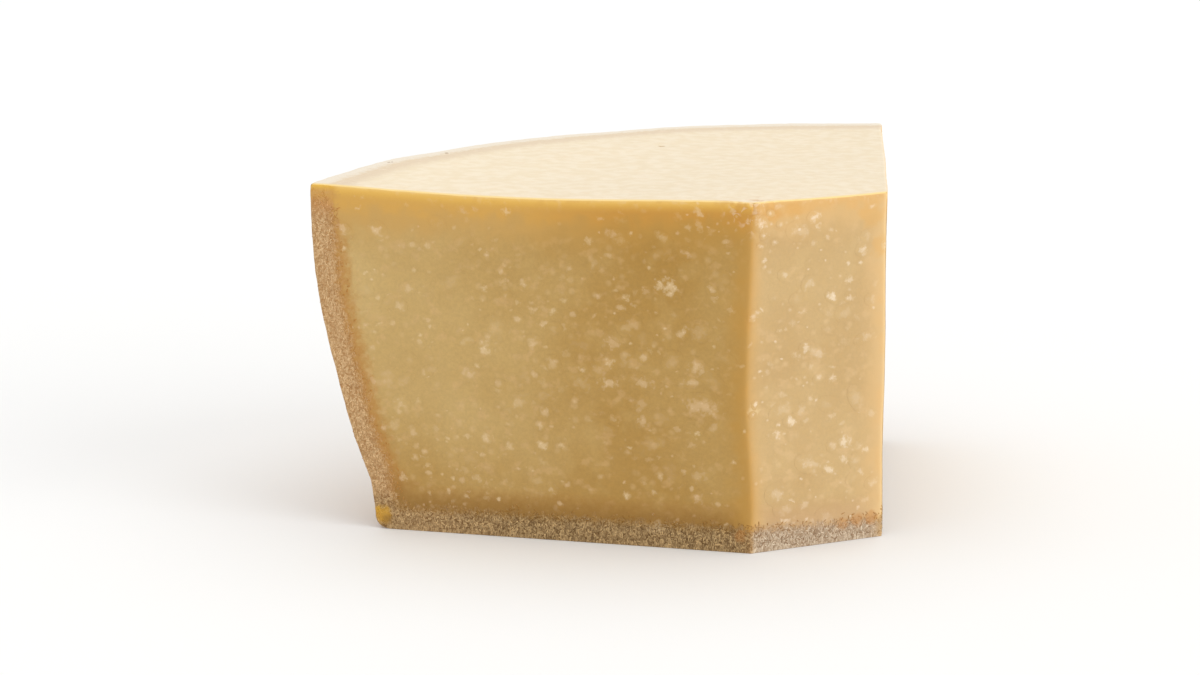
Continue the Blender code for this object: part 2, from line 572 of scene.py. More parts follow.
@dataclass
class BodyMarks:
    """What the finishes and the scatters read at each place of the wedge.

    Each Fading gives a strength at an edge and the reach over which it dies away, and each Ramp gives
    where a share is 0 and where it is 1.
    """

    grid: CutGrid
    points: np.ndarray
    reach: dict[tuple[Side, Side], np.ndarray]
    rind_side: float = 0.0088
    rind_base: float = 0.0084
    rind_blend: float = 0.45
    tip_base_growth: float = 0.16
    glow: Fading = (1.0, 0.0085)
    front_glow: Fading = (0.32, 0.0080)
    back_glow: Fading = (0.52, 0.0065)
    tip_glow: Fading = (0.36, 0.0050)
    tip_top_glow: float = 0.66
    top_glow_reach: float = 0.0016
    # From here to foot_pale_heights: painted light, which pales the whole top, the tip cut in part and thin
    # lines along the edges.
    back_painted_light: Fading = (0.08, 0.0065)
    back_pale: Fading = (0.40, 0.0011)
    front_pale: Fading = (0.08, 0.0012)
    upper_pale: Fading = (0.46, 0.0010)
    tip_pale: float = 0.28
    tip_pale_from: Ramp = (-0.0030, 0.0058)
    foot_pale: float = 0.10
    foot_pale_heights: Ramp = (0.016, 0.008)
    corner_crumble: Fading = (0.9, 0.0075)
    upper_crumble: Fading = (0.22, 0.0050)
    grain_depths: Ramp = (1.40, 0.78)
    grain_waver: Unevenness = Unevenness(0.30, 0.0045, 3.0)
    grain_ragged: Unevenness = Unevenness(0.0022, 0.0035, 9.0)
    grain_below_top: Ramp = (0.0008, 0.0040)
    grain_above_floor: Ramp = (0.0008, 0.0016)
    grain_thinning: float = 0.35
    grain_thinning_below_top: Ramp = (0.013, 0.004)
    crystal_mean: float = 0.75
    crystal_drift: Unevenness = Unevenness(1.1, 0.032, 7.0)
    crystal_limits: tuple[float, float] = (0.15, 1.6)
    crystal_depths: Ramp = (0.88, 1.15)
    crystal_tipward: Ramp = (-0.085, 0.02)
    crystal_front: float = 0.92
    crystal_front_gain: float = 0.13
    crystal_elsewhere: float = 1.05
    crystal_edge: float = 0.12
    crystal_edge_reach: Ramp = (0.001, 0.008)

    def all(self) -> dict[str, np.ndarray]:
        """Give every mark.

        Returns:
            Lists of numbers by attribute name.
        """
        return {
            "rind_depth": self.rind_depth(),
            "edge_glow": self.edge_glow(),
            "whiteness": self.whiteness(),
            "crumble": self.crumble(),
            "grain_share": self.grain_share(),
            "crystal_share": self.crystal_share(),
        }

    def upright(self) -> np.ndarray:
        """Tell which places lie on the front or the back cut."""
        return self.grid.on(Side.FRONT) | self.grid.on(Side.BACK)

    def standing(self) -> np.ndarray:
        """Tell which places lie on a cut and above the underside."""
        return ~self.grid.on(Side.FLANK) & (self.grid.height > 0.0)

    def dying(self, side: Side, other: Side, strength: float, reach: float) -> np.ndarray:
        """Run from a strength, at a side's edge with another one, down to 0 over a reach."""
        return strength * np.exp(-self.reach[side, other] / reach)

    def rind_depth(self) -> np.ndarray:
        """Tell how deep each place lies under the rind's outside, as a share of the rind's thickness.

        Returns:
            The depths.
        """
        grid = self.grid
        side = (grid.form.rind_radius(grid.turn, grid.height) - grid.radius) / self.rind_side
        base = grid.height / self.rind_base
        base = np.where(grid.on(Side.TIP), base * (1.0 + self.tip_base_growth * grid.turn), base)
        mixing = np.clip(0.5 + 0.5 * (base - side) / self.rind_blend, 0.0, 1.0)
        return base + (side - base) * mixing - self.rind_blend * mixing * (1 - mixing)

    def edge_glow(self) -> np.ndarray:
        """Tell how much light shines through the cheese at each place, most along the edges.

        Returns:
            The glow, from 0 to 1.
        """
        upright = self.upright()
        glow = self.dying(Side.FRONT, Side.TOP, *self.glow)
        beside_tip = self.dying(Side.FRONT, Side.TIP, *self.front_glow)
        glow = np.where(upright, np.maximum(glow, beside_tip), glow)
        to_back = self.dying(Side.TIP, Side.BACK, *self.back_glow)
        from_front = self.dying(Side.TIP, Side.FRONT, *self.tip_glow)
        on_tip = np.maximum(np.maximum(glow * self.tip_top_glow, to_back), from_front)
        glow = np.where(self.grid.on(Side.TIP) & ~upright, on_tip, glow)
        to_cut = np.minimum(self.reach[Side.TOP, Side.FRONT], self.reach[Side.FRONT, Side.TIP])
        return np.where(self.grid.on(Side.TOP), np.exp(-to_cut / self.top_glow_reach), glow)

    def whiteness(self) -> np.ndarray:
        """Tell how much painted light pales each place: wholly on the top, a little on the tip cut and along
        its edges.

        Returns:
            The painted light's share, from 0 to 1.
        """
        # Painted light: a band by the tip cut's back edge, the tip cut itself, a faint line on the front
        # beside it, a line under the top edge and the whole top.
        rim = self.dying(Side.TIP, Side.BACK, *self.back_painted_light)
        rim += self.dying(Side.TIP, Side.BACK, *self.back_pale)
        low = fade(self.grid.height, *self.foot_pale_heights)
        risen = fade(self.reach[Side.TIP, Side.FRONT], *self.tip_pale_from)
        on_tip = (self.tip_pale + self.foot_pale * low) * risen + rim
        beside = self.dying(Side.FRONT, Side.TIP, *self.front_pale) * self.upright()
        upper = self.dying(Side.FRONT, Side.TOP, *self.upper_pale)
        pale = np.maximum(np.where(self.grid.on(Side.TIP), on_tip, beside), upper)
        pale[self.grid.on(Side.TOP)] = 1.0
        return pale

    def crumble(self) -> np.ndarray:
        """Tell how crumbly the cut is at each place, most so at the near upper corner.

        Returns:
            The crumbliness, from 0 to 1.
        """
        away = self.grid.form.from_near_corner(self.points)
        strength, reach = self.corner_crumble
        corner = strength * np.exp(-away / reach)
        upper = self.dying(Side.FRONT, Side.TOP, *self.upper_crumble) * ~self.grid.on(Side.TOP)
        return np.maximum(corner, upper) * ~self.grid.on(Side.FLANK)

    def grain_share(self) -> np.ndarray:
        """Tell how densely the rind section is set with grains at each place.

        Returns:
            The share, from 0 to 1.
        """
        below_top = self.grid.form.height - self.grid.height
        depth = self.rind_depth() + self.grain_waver.at(self.points)
        depth += self.grain_thinning * fade(below_top, *self.grain_thinning_below_top)
        under = fade(below_top + self.grain_ragged.at(self.points), *self.grain_below_top)
        above_floor = fade(self.grid.height, *self.grain_above_floor)
        return fade(depth, *self.grain_depths) * self.standing() * under * above_floor

    def crystal_share(self) -> np.ndarray:
        """Tell how densely crystals lie at each place.

        Returns:
            The share of a scatter's own density.
        """
        drift = np.clip(self.crystal_mean + self.crystal_drift.at(self.points), *self.crystal_limits)
        inside = fade(self.rind_depth(), *self.crystal_depths)
        tipward = fade(self.points[:, 0], *self.crystal_tipward)
        in_front = self.crystal_front + self.crystal_front_gain * tipward
        drift *= np.where(self.grid.on(Side.FRONT), in_front, self.crystal_elsewhere)
        room = np.full(len(self.points), np.inf)
        for (side, _), reach in self.reach.items():
            room = np.where(self.grid.on(side), np.minimum(room, reach), room)
        edge_thin = self.crystal_edge + (1 - self.crystal_edge) * fade(room, *self.crystal_edge_reach)
        return np.clip(drift * inside * edge_thin, 0.0, self.crystal_limits[1]) * self.standing()


@dataclass
class CheeseBody:
    """The whole wedge as one closed mesh, with the marks that its finishes read."""

    form: WheelForm = field(default_factory=WheelForm)
    sharp_angle: float = math.radians(55)
    settled_heights: Ramp = (0.0, 0.002)
    section_depths: Ramp = (1.15, 0.9)
    section: Unevenness = Unevenness(0.00014, 0.0016, 2.0)
    knife: Unevenness = Unevenness(0.00009, 0.011, 1.0)
    leather: Unevenness = Unevenness(0.00016, 0.0034, 4.0)
    wide_leather: Unevenness = Unevenness(0.00032, 0.0136, 5.0)
    crumble_depth: float = 0.00032
    crumble_mean: float = 0.35
    crumbled: Unevenness = Unevenness(1.3, 0.0013, 6.0)
    dents: tuple[Dent, ...] = ()

    def build(self) -> bpy.types.Object:
        """Make the wedge's mesh, rounded and roughened.

        Returns:
            The object, at the origin, with its material slots still empty.
        """
        grid = CutGrid(self.form)
        rounding = EdgeRounding(grid)
        points = grid.points()
        points += rounding.moves(points)
        points += np.array(self.form.axis_foot)
        faces, skins = grid.faces()
        mesh = bpy.data.meshes.new("wedge_body")
        mesh.from_pydata(points.tolist(), [], faces)
        mesh.polygons.foreach_set("material_index", skins)
        mesh.shade_smooth()
        marks = BodyMarks(grid, points, rounding.reaches()).all()
        moved = points + self.relief(mesh, grid, points, marks)
        mesh.vertices.foreach_set("co", moved.ravel())
        for name, values in marks.items():
            mesh.attributes.new(name, "FLOAT", "POINT").data.foreach_set("value", values)
        mesh.set_sharp_from_angle(angle=self.sharp_angle)
        mesh.update()
        return placed("wedge_body", mesh)

    def relief(
        self, mesh: bpy.types.Mesh, grid: CutGrid, points: np.ndarray, marks: dict[str, np.ndarray]
    ) -> np.ndarray:
        """Roughen the surface: the knife's waves, the crumbly rind section, the leathery side and dents.

        Args:
            mesh: The smooth wedge, for its outward directions.
            grid: The cells that it was made from.
            points: Its places.
            marks: What is marked at each place.

        Returns:
            A move for each place.
        """
        normals = np.empty(len(points) * 3)
        mesh.vertices.foreach_get("normal", normals)
        settled = fade(grid.height, *self.settled_heights)
        in_section = fade(marks["rind_depth"], *self.section_depths)
        cut = self.knife.at(points) + self.section.at(points) * in_section
        leather = self.leather.at(points) + self.wide_leather.at(points)
        out = np.where(grid.on(Side.FLANK), leather, cut)
        chipped = np.clip(self.crumble_mean + self.crumbled.at(points), 0.0, 1.0)
        out -= self.crumble_depth * marks["crumble"] * chipped
        for dent in self.dents:
            out -= dent.depth * dent.share(points)
        return normals.reshape(-1, 3) * (out * settled)[:, None]


class NodeGraph:
    """Adds nodes to a tree, wires them, and keeps short names for the sums that materials need."""

    def __init__(self, tree: bpy.types.NodeTree) -> None:
        """Start from an empty tree."""
        self.tree = tree
        tree.nodes.clear()

    def add(self, kind: str, inputs: dict | None = None, **settings: object) -> bpy.types.Node:
        """Add one node.

        Args:
            kind: The node's type name.
            inputs: Numbers, or other nodes' outputs, by input name or place.
            settings: The node's own options.

        Returns:
            The node.
        """
        node = self.tree.nodes.new(kind)
        for name, setting in settings.items():
            setattr(node, name, setting)
        for key, given in (inputs or {}).items():
            if isinstance(given, Socket):
                self.tree.links.new(given, node.inputs[key])
            else:
                node.inputs[key].default_value = given
        return node

    def sum(self, operation: str, first: object, second: object = 0.0, third: object = 0.0) -> Socket:
        """Add a Math node and give its result."""
        inputs = {0: first, 1: second, 2: third}
        return self.add("ShaderNodeMath", inputs, operation=operation).outputs[0]

    def spread(self, value: Socket, low: float, high: float, start: float = 0.0, end: float = 1.0) -> Socket:
        """Run smoothly from start, where the value is low, to end, where it is high."""
        inputs = {"Value": value, "From Min": low, "From Max": high, "To Min": start, "To Max": end}
        return self.add("ShaderNodeMapRange", inputs, interpolation_type="SMOOTHSTEP").outputs[0]

    def blend(self, share: object, first: object, second: object) -> Socket:
        """Mix two colours by a share.

        Args:
            share: From 0, for the first colour alone, to 1, for the second.
            first: A colour's socket, or a screen colour.
            second: The same.

        Returns:
            The mixed colour.
        """
        shades = [given if isinstance(given, Socket) else linear(given) for given in (first, second)]
        node = self.add("ShaderNodeMix", {0: share, 6: shades[0], 7: shades[1]}, data_type="RGBA")
        return node.outputs[2]

    def times(self, first: object, second: object) -> Socket:
        """Multiply two numbers."""
        return self.sum("MULTIPLY", first, second)

    def tinted(self, tone: Socket, colour: Colour, share: Socket, most: float) -> Socket:
        """Tint a tone with a colour, by a share that counts for the given strength at most."""
        return self.blend(self.times(share, most), tone, colour)

    def vector(self, operation: str, inputs: dict) -> bpy.types.NodeOutputs:
        """Add a vector math node and give its outputs, a vector and a number."""
        return self.add("ShaderNodeVectorMath", inputs, operation=operation).outputs

    def scaled(self, vector: Socket, factor: Socket) -> Socket:
        """Multiply a colour or a vector by a number."""
        return self.vector("SCALE", {0: vector, 3: factor})[0]

    def parts(self, vector: Socket) -> bpy.types.NodeOutputs:
        """Take a vector apart into its three numbers."""
        return self.add("ShaderNodeSeparateXYZ", {0: vector}).outputs

    def place(self) -> Socket:
        """Give the place on the piece, in metres."""
        return self.add("ShaderNodeTexCoord").outputs["Object"]

    def mark(self, name: str) -> bpy.types.Node:
        """Read one of the piece's own attributes."""
        return self.add("ShaderNodeAttribute", attribute_name=name)

    def share(self, name: str) -> Socket:
        """Read an attribute of the piece that is a single number."""
        return self.mark(name).outputs["Fac"]

    def noise(
        self, place: Socket, size: float, detail: float = 2.0, roughness: float = 0.5, warp: float = 0.0
    ) -> Socket:
        """Read a noise.

        Args:
            place: Where to read it.
            size: The size of its features, in metres.
            detail: How many finer layers it has.
            roughness: How strong they are.
            warp: How far it is twisted.

        Returns:
            The noise, from 0 to 1.
        """
        inputs = {
            "Vector": place, "Scale": 1 / size, "Detail": detail, "Roughness": roughness,
            "Distortion": warp,
        }
        return self.add("ShaderNodeTexNoise", inputs).outputs[0]

    def cells(self, place: Socket, size: float, randomness: float = 1.0) -> bpy.types.Node:
        """Read a cell pattern whose cells have a given size in metres."""
        inputs = {"Vector": place, "Scale": 1 / size, "Randomness": randomness}
        return self.add("ShaderNodeTexVoronoi", inputs)

    def slanted(self, place: Socket, lean: float) -> Socket:
        """Lean a place over by an angle and stretch what is laid on it there, as fibres are."""
        inputs = {"Vector": place, "Rotation": (lean, lean, 0.0), "Scale": (1.3, 1.3, 0.42)}
        return self.add("ShaderNodeMapping", inputs).outputs[0]

    def stretched(self, place: Socket, factors: Colour) -> Socket:
        """Squeeze or stretch a place along the axes."""
        return self.add("ShaderNodeMapping", {0: place, 3: factors}, vector_type="POINT").outputs[0]


@dataclass(frozen=True)
class Patches:
    """A noise read as soft-edged patches."""

    size: float
    low: float
    high: float
    start: float = 0.0
    end: float = 1.0
    detail: float = 2.0
    roughness: float = 0.5

    def read(self, graph: NodeGraph, place: Socket) -> Socket:
        """Run from start, where the noise is low, to end, where it is high."""
        value = graph.noise(place, self.size, self.detail, self.roughness)
        return graph.spread(value, self.low, self.high, self.start, self.end)


@dataclass(frozen=True)
class Flecks:
    """Small round spots that lie in loose groups."""

    size: float
    rim: float
    core: float
    groups: Patches

    def read(self, graph: NodeGraph, place: Socket) -> Socket:
        """Run from 0, outside the spots or between the groups, to 1 in the middle of a spot."""
        spots = graph.spread(graph.cells(place, self.size).outputs["Distance"], self.rim, self.core)
        return graph.times(spots, self.groups.read(graph, place))


@dataclass(frozen=True)
class SurfaceGloss:
    """How a surface shines, with its roughness at either end of a share, and its fine relief's depth."""

    roughness: tuple[float, float] = (0.50, 0.42)
    specular: float = 0.4
    bump_depth: float = 0.0002
    bump_share: float = 0.3

    def rough(self, graph: NodeGraph, share: Socket) -> Socket:
        """Give the roughness by a share."""
        return graph.spread(share, 0.0, 1.0, *self.roughness)

    def finish(self, graph: NodeGraph, colour: Socket, height: Socket, roughness: Socket) -> None:
        """Close a material with its shader.

        Args:
            graph: The material's tree.
            colour: The surface colour.
            height: The fine relief, from 0 to 1.
            roughness: The roughness.
        """
        relief = {"Strength": self.bump_share, "Distance": self.bump_depth, "Height": height}
        bump = graph.add("ShaderNodeBump", relief)
        shader = graph.add("ShaderNodeBsdfPrincipled", {
            "Base Color": colour,
            "Roughness": roughness,
            "Specular IOR Level": self.specular,
            "Normal": bump.outputs[0],
        })
        graph.add("ShaderNodeOutputMaterial", {"Surface": shader.outputs[0]})


def new_material(name: str) -> tuple[bpy.types.Material, NodeGraph]:
    """Make a material with an empty tree."""
    material = bpy.data.materials.new(name)
    material.use_nodes = True
    return material, NodeGraph(material.node_tree)


@dataclass(frozen=True)
class PasteTone:
    """The colour of the cut surface, from the pale paste to the granular rind section."""

    straw: Colour = (205, 173, 111)
    deeper: Colour = (168, 122, 34)
    greenish: Colour = (201, 166, 101)
    pinkish: Colour = (216, 176, 122)
    pale_spot: Colour = (226, 192, 142)
    ochre: Colour = (190, 143, 62)
    rind_ochre: Colour = (202, 144, 78)
    amber: Colour = (203, 147, 58)
    far_ochre: Colour = (203, 160, 88)
    far_amber: Colour = (214, 164, 78)
    tip_ochre: Colour = (203, 157, 84)
    tip_amber: Colour = (212, 156, 68)
    golden: Colour = (234, 183, 72)
    brown: Colour = (152, 110, 42)
    side_brown: Colour = (185, 131, 57)
    side_dark: Colour = (179, 134, 83)
    side_light: Colour = (231, 197, 149)
    base_dark: Colour = (115, 86, 48)
    base_light: Colour = (217, 183, 130)
    tip_brown: Colour = (177, 129, 66)
    # These two rind tones of the tip cut are greyer and paler than the side's: painted light, as over the
    # rest of the tip cut.
    tip_dark: Colour = (152, 122, 92)
    tip_light: Colour = (230, 212, 186)
    crumb_pale: Colour = (240, 216, 184)
    crumb_brown: Colour = (198, 134, 54)
    # The first cream is painted light that pales the tip cut and the edges; the next five are the top's
    # tones, made pale by painted highlight.
    painted_light_cream: Colour = (248, 220, 174)
    cream: Colour = (242, 226, 195)
    milky_cream: Colour = (248, 235, 210)
    rosy_cream: Colour = (240, 217, 184)
    dull_cream: Colour = (230, 211, 182)
    rim_cream: Colour = (239, 229, 211)
    edge_cream: Colour = (246, 219, 152)
    clouds: Patches = Patches(0.030, 0.35, 0.68, 0.0, 0.20, detail=3.0)
    green_patches: Patches = Patches(0.0085, 0.50, 0.70)
    pink_patches: Patches = Patches(0.0060, 0.53, 0.70, detail=3.0)
    pale_spots: Flecks = Flecks(0.0046, 0.38, 0.10, Patches(0.012, 0.44, 0.62, detail=1.0))
    grain: Patches = Patches(0.0011, 0.25, 0.75, 0.95, 1.05, detail=3.0, roughness=0.65)
    top_patches: Patches = Patches(0.0050, 0.34, 0.68, detail=4.0)
    top_flecks: Flecks = Flecks(0.0032, 0.34, 0.10, Patches(0.012, 0.42, 0.62, detail=1.0))
    wide_glow_patches: Patches = Patches(0.012, 0.25, 0.75, 0.78, 1.20)
    small_glow_patches: Patches = Patches(0.0045, 0.30, 0.70, 0.88, 1.14, detail=3.0)
    deeper_towards_tip: Ramp = (-0.085, 0.030, 0.0, 0.55)
    deeper_below: Ramp = (0.060, 0.012, 0.0, 0.50)
    deeper_above: Ramp = (0.090, 0.122, 0.0, 0.20)
    depth_waver: float = 1.3
    section_depths: Ramp = (1.24, 0.84)
    section_inner: Ramp = (0.55, 1.05, 0.0, 0.34)
    shade_heights: Ramp = (0.026, 0.009)
    shade_depths: tuple[float, float] = (1.85, 2.75)
    most_shade: float = 0.92
    foot_heights: Ramp = (0.017, 0.008)
    side_heights: Ramp = (0.060, 0.020, 0.0, 0.22)
    heel_places: Ramp = (-0.065, -0.020, 0.72, 1.0)
    fibre_leans: tuple[float, float] = (0.7, -0.8)
    fibre_size: float = 0.0008
    fibre_shares: Ramp = (0.40, 0.76)
    dull_depths: Ramp = (2.25, 1.15)
    rim_depths: Ramp = (1.00, 0.45)
    top_edge_glow: Ramp = (0.10, 0.75)
    # The next four pick out and weigh the painted light that pales the top, the tip cut and the edges.
    top_painted_light: Ramp = (0.95, 0.80)
    tip_painted_light: Ramp = (0.04, 0.20)
    painted_light_most: float = 0.86
    section_painted_light: float = -0.72
    far_places: Ramp = (0.020, -0.040)
    ochre_glow: Ramp = (0.04, 0.31)
    amber_glow: Ramp = (0.25, 0.55)
    golden_glow: Ramp = (0.55, 0.94)
    section_steepness: float = 0.7
    section_dimming: float = -0.40
    crumbly: Ramp = (0.04, 0.40)
    brown_crumbs: Ramp = (0.52, 0.72, 0.0, 0.45)
    pale_crumbs: Ramp = (0.56, 0.76, 0.0, 0.50)

    def colour(self, graph: NodeGraph, place: Socket) -> Socket:
        """Paint the cut surface.

        Args:
            graph: The material's tree.
            place: The place on the piece.

        Returns:
            The colour.
        """
        tone = self.paste(graph, place)
        ragged = graph.noise(place, 0.0026, detail=4.0, roughness=0.75)
        centred = graph.sum("ADD", graph.share("rind_depth"), -self.depth_waver / 2)
        depth = graph.sum("MULTIPLY_ADD", ragged, self.depth_waver, centred)
        height = graph.parts(place)[2]
        low = graph.spread(height, *self.shade_heights)
        reach = graph.spread(low, 0.0, 1.0, *self.shade_depths)
        shade_share = graph.spread(depth, reach, 1.0, 0.0, self.most_shade)
        tone = graph.blend(shade_share, tone, self.rind_shade(graph, low))
        foot = graph.sum(
            "MAXIMUM", graph.spread(height, *self.foot_heights), graph.spread(height, *self.side_heights)
        )
        foot = self.paler_heel(graph, place, foot)
        section = graph.spread(depth, *self.section_depths)
        tone = graph.blend(section, tone, self.section(graph, place, foot, depth))
        tone = self.lit_edges(graph, place, tone, section)
        # Painted light: the top turns mostly to its pale cream, the tip cut and the edges partly to a pale
        # cream, the rind section on the cuts less.
        whiteness = graph.share("whiteness")
        top = graph.blend(whiteness, self.painted_light_cream, self.level_top(graph, place, depth))
        upright = graph.spread(whiteness, *self.top_painted_light)
        painted_light_most = graph.sum("MULTIPLY_ADD", graph.times(section, upright), self.section_painted_light, self.painted_light_most)
        return graph.blend(graph.times(whiteness, painted_light_most), tone, top)

    def lit_edges(self, graph: NodeGraph, place: Socket, tone: Socket, section: object) -> Socket:
        """Warm a tone along the edges, where the light shines through the cheese.

        Args:
            graph: The material's tree.
            place: The place on the piece.
            tone: The tone to warm.
            section: How far the place belongs to the rind, where the light reaches less deep.

        Returns:
            The colour.
        """
        steepness = graph.sum("MULTIPLY_ADD", section, self.section_steepness, 1.0)
        glow = graph.sum("POWER", graph.share("edge_glow"), steepness)
        uneven = self.wide_glow_patches.read(graph, place)
        patchy = self.small_glow_patches.read(graph, place)
        ragged = graph.times(glow, graph.times(uneven, patchy))
        on_tip = self.tip_share(graph)
        far = graph.spread(graph.parts(place)[0], *self.far_places)
        ochre = graph.blend(far, self.ochre, self.far_ochre)
        ochre = graph.blend(section, ochre, self.rind_ochre)
        ochre = graph.blend(on_tip, ochre, self.tip_ochre)
        kept = graph.sum("MULTIPLY_ADD", section, self.section_dimming, 1.0)
        tone = graph.blend(graph.times(graph.spread(ragged, *self.ochre_glow), kept), tone, ochre)
        amber = graph.blend(far, self.amber, self.far_amber)
        amber = graph.blend(on_tip, amber, self.tip_amber)
        tone = graph.blend(graph.times(graph.spread(ragged, *self.amber_glow), kept), tone, amber)
        return graph.blend(graph.spread(glow, *self.golden_glow), tone, self.golden)

    def crumbs(self, graph: NodeGraph, place: Socket, tone: Socket) -> Socket:
        """Speckle a tone with pale and brown crumbs where the cut is crumbly.

        Args:
            graph: The material's tree.
            place: The place on the piece.
            tone: The tone to speckle.

        Returns:
            The colour.
        """
        crumble = graph.share("crumble")
        here = graph.spread(crumble, *self.crumbly)
        brown = graph.noise(graph.stretched(place, (0.8, 0.9, 1.1)), 0.0038, detail=3.0)
        brown = graph.spread(graph.sum("MULTIPLY_ADD", crumble, 0.14, brown), *self.brown_crumbs)
        tone = graph.blend(graph.times(brown, here), tone, self.crumb_brown)
        pale = graph.noise(place, 0.0026, detail=3.0, warp=0.5)
        pale = graph.spread(graph.sum("MULTIPLY_ADD", crumble, 0.16, pale), *self.pale_crumbs)
        return graph.blend(graph.times(pale, here), tone, self.crumb_pale)

    def level_top(self, graph: NodeGraph, place: Socket, depth: Socket) -> Socket:
        """Paint the cut top, made pale by painted highlight, with its faint mottling, its yellow front edge
        and the duller rind.

        Args:
            graph: The material's tree.
            place: The place on the piece.
            depth: The place's depth under the rind's outside.

        Returns:
            The colour.
        """
        tone = graph.blend(self.top_patches.read(graph, place), self.cream, self.milky_cream)
        tone = graph.tinted(tone, self.rosy_cream, self.top_flecks.read(graph, place), 0.35)
        tone = graph.blend(graph.spread(depth, *self.dull_depths), tone, self.dull_cream)
        tone = graph.blend(graph.spread(depth, *self.rim_depths), tone, self.rim_cream)
        glow = graph.spread(graph.share("edge_glow"), *self.top_edge_glow)
        return graph.blend(glow, tone, self.edge_cream)

    def paste(self, graph: NodeGraph, place: Socket) -> Socket:
        """Paint the paste alone, with its slow changes of colour and its faint deep spots.

        Args:
            graph: The material's tree.
            place: The place on the piece.

        Returns:
            The colour.
        """
        parts = graph.parts(place)
        inward = graph.spread(parts[0], *self.deeper_towards_tip)
        below = graph.spread(parts[2], *self.deeper_below)
        above = graph.spread(parts[2], *self.deeper_above)
        clouds = graph.sum("ADD", self.clouds.read(graph, place), above)
        deep_share = graph.sum("ADD", graph.sum("MAXIMUM", inward, below), clouds)
        tone = graph.blend(deep_share, self.straw, self.deeper)
        tone = graph.tinted(tone, self.greenish, self.green_patches.read(graph, place), 0.24)
        shifted = graph.stretched(place, (1.1, 0.9, 1.3))
        tone = graph.tinted(tone, self.pinkish, self.pink_patches.read(graph, shifted), 0.32)
        tone = graph.tinted(tone, self.pale_spot, self.pale_spots.read(graph, place), 0.24)
        return graph.scaled(tone, self.grain.read(graph, place))

    def section(self, graph: NodeGraph, place: Socket, low: Socket, depth: Socket) -> Socket:
        """Paint the cut rind, which is dark and light in worm-like grains.

        Args:
            graph: The material's tree.
            place: The place on the piece.
            low: How far the place belongs to the rind of the underside.
            depth: The place's depth under the rind's outside.

        Returns:
            The colour.
        """
        fibres = [
            graph.noise(graph.slanted(place, lean), self.fibre_size, detail=2.0, roughness=0.6, warp=1.2)
            for lean in self.fibre_leans
        ]
        share = graph.spread(graph.sum("MAXIMUM", *fibres), *self.fibre_shares)
        tone = self.rind_tone(graph, share, low)
        return graph.blend(graph.spread(depth, *self.section_inner), tone, self.rind_shade(graph, low))

    def rind_tone(self, graph: NodeGraph, share: Socket, low: Socket) -> Socket:
        """Choose a tone of the cut rind, for the side, underside or tip.

        Args:
            graph: The material's tree.
            share: From 0, for the dark tone, to 1, for the light one.
            low: How far the place belongs to the rind of the underside.

        Returns:
            The colour.
        """
        side = graph.blend(share, self.side_dark, self.side_light)
        base = graph.blend(share, self.base_dark, self.base_light)
        tip = graph.blend(share, self.tip_dark, self.tip_light)
        return graph.blend(self.tip_share(graph), graph.blend(low, side, base), tip)

    def rind_shade(self, graph: NodeGraph, low: Socket) -> Socket:
        """Choose the brown between paste and rind, for the side, underside or tip."""
        shade = graph.blend(low, self.side_brown, self.brown)
        return graph.blend(self.tip_share(graph), shade, self.tip_brown)

    def paler_heel(self, graph: NodeGraph, place: Socket, low: Socket) -> Socket:
        """Let the rind of the underside turn paler, as the side's is, towards the heel."""
        return graph.times(low, graph.spread(graph.parts(place)[0], *self.heel_places))

    def tip_share(self, graph: NodeGraph) -> Socket:
        """Tell whether the place lies on the tip cut, from the painted light that pales it."""
        return graph.spread(graph.share("whiteness"), *self.tip_painted_light)


@dataclass(frozen=True)
class Spot:
    """A small ragged spot of another colour."""

    place: tuple[float, float, float]
    reach: float
    colour: Colour
    strength: float = 0.8

    @staticmethod
    def on_tip(across: float, up: float, reach: float, colour: Colour, strength: float) -> "Spot":
        """Make a spot on the tip cut, placed in millimetres from its front edge and from the underside."""
        return Spot(tuple(WheelForm().on_tip(across, up)), reach, colour, strength)

    def paint(self, graph: NodeGraph, place: Socket, tone: Socket) -> Socket:
        """Lay the spot over a tone.

        Args:
            graph: The material's tree.
            place: The place on the piece.
            tone: The tone under the spot.

        Returns:
            The colour.
        """
        away = graph.vector("DISTANCE", {0: place, 1: self.place})["Value"]
        ragged = graph.noise(place, self.reach * 0.6, detail=3.0)
        away = graph.sum("MULTIPLY_ADD", ragged, self.reach, away)
        share = graph.spread(away, 1.40 * self.reach, 0.85 * self.reach, 0.0, self.strength)
        return graph.blend(share, tone, self.colour)


SPOTS = (
    # This spot darkens the pit in the top: painted shade.
    Spot((-0.0021, 0.0244, 0.1240), 0.0021, (196, 164, 112), 0.9),
    Spot((-0.0756, -0.1006, 0.0052), 0.0046, (212, 162, 58), 0.86),
    Spot((-0.0738, -0.1006, 0.0034), 0.0030, (160, 118, 52), 0.62),
    Spot((-0.0774, -0.1006, 0.0070), 0.0018, (222, 172, 56), 0.60),
    Spot((0.0565, -0.1006, 0.0062), 0.0034, (198, 136, 66), 0.45),
    Spot.on_tip(37.0, 6.5, 0.0034, (196, 142, 82), 0.50),
    Spot.on_tip(43.0, 7.0, 0.0038, (196, 142, 82), 0.60),
    Spot.on_tip(49.0, 7.5, 0.0038, (200, 142, 74), 0.60),
    Spot.on_tip(7.0, 120.5, 0.0062, (216, 158, 72), 0.45),
    Spot.on_tip(16.0, 121.5, 0.0046, (218, 162, 78), 0.40),
    Spot.on_tip(47.0, 117.0, 0.0066, (222, 167, 82), 0.40),
    Spot.on_tip(51.0, 106.0, 0.0056, (222, 167, 82), 0.35),
    Spot.on_tip(1.4, 51.6, 0.0036, (230, 202, 150), 0.6),
    # These two darken the pits in the tip cut: painted shade.
    Spot.on_tip(0.9, 51.5, 0.0012, (118, 84, 42), 0.95),
    Spot.on_tip(17.6, 44.3, 0.0010, (136, 96, 50), 0.8),
)


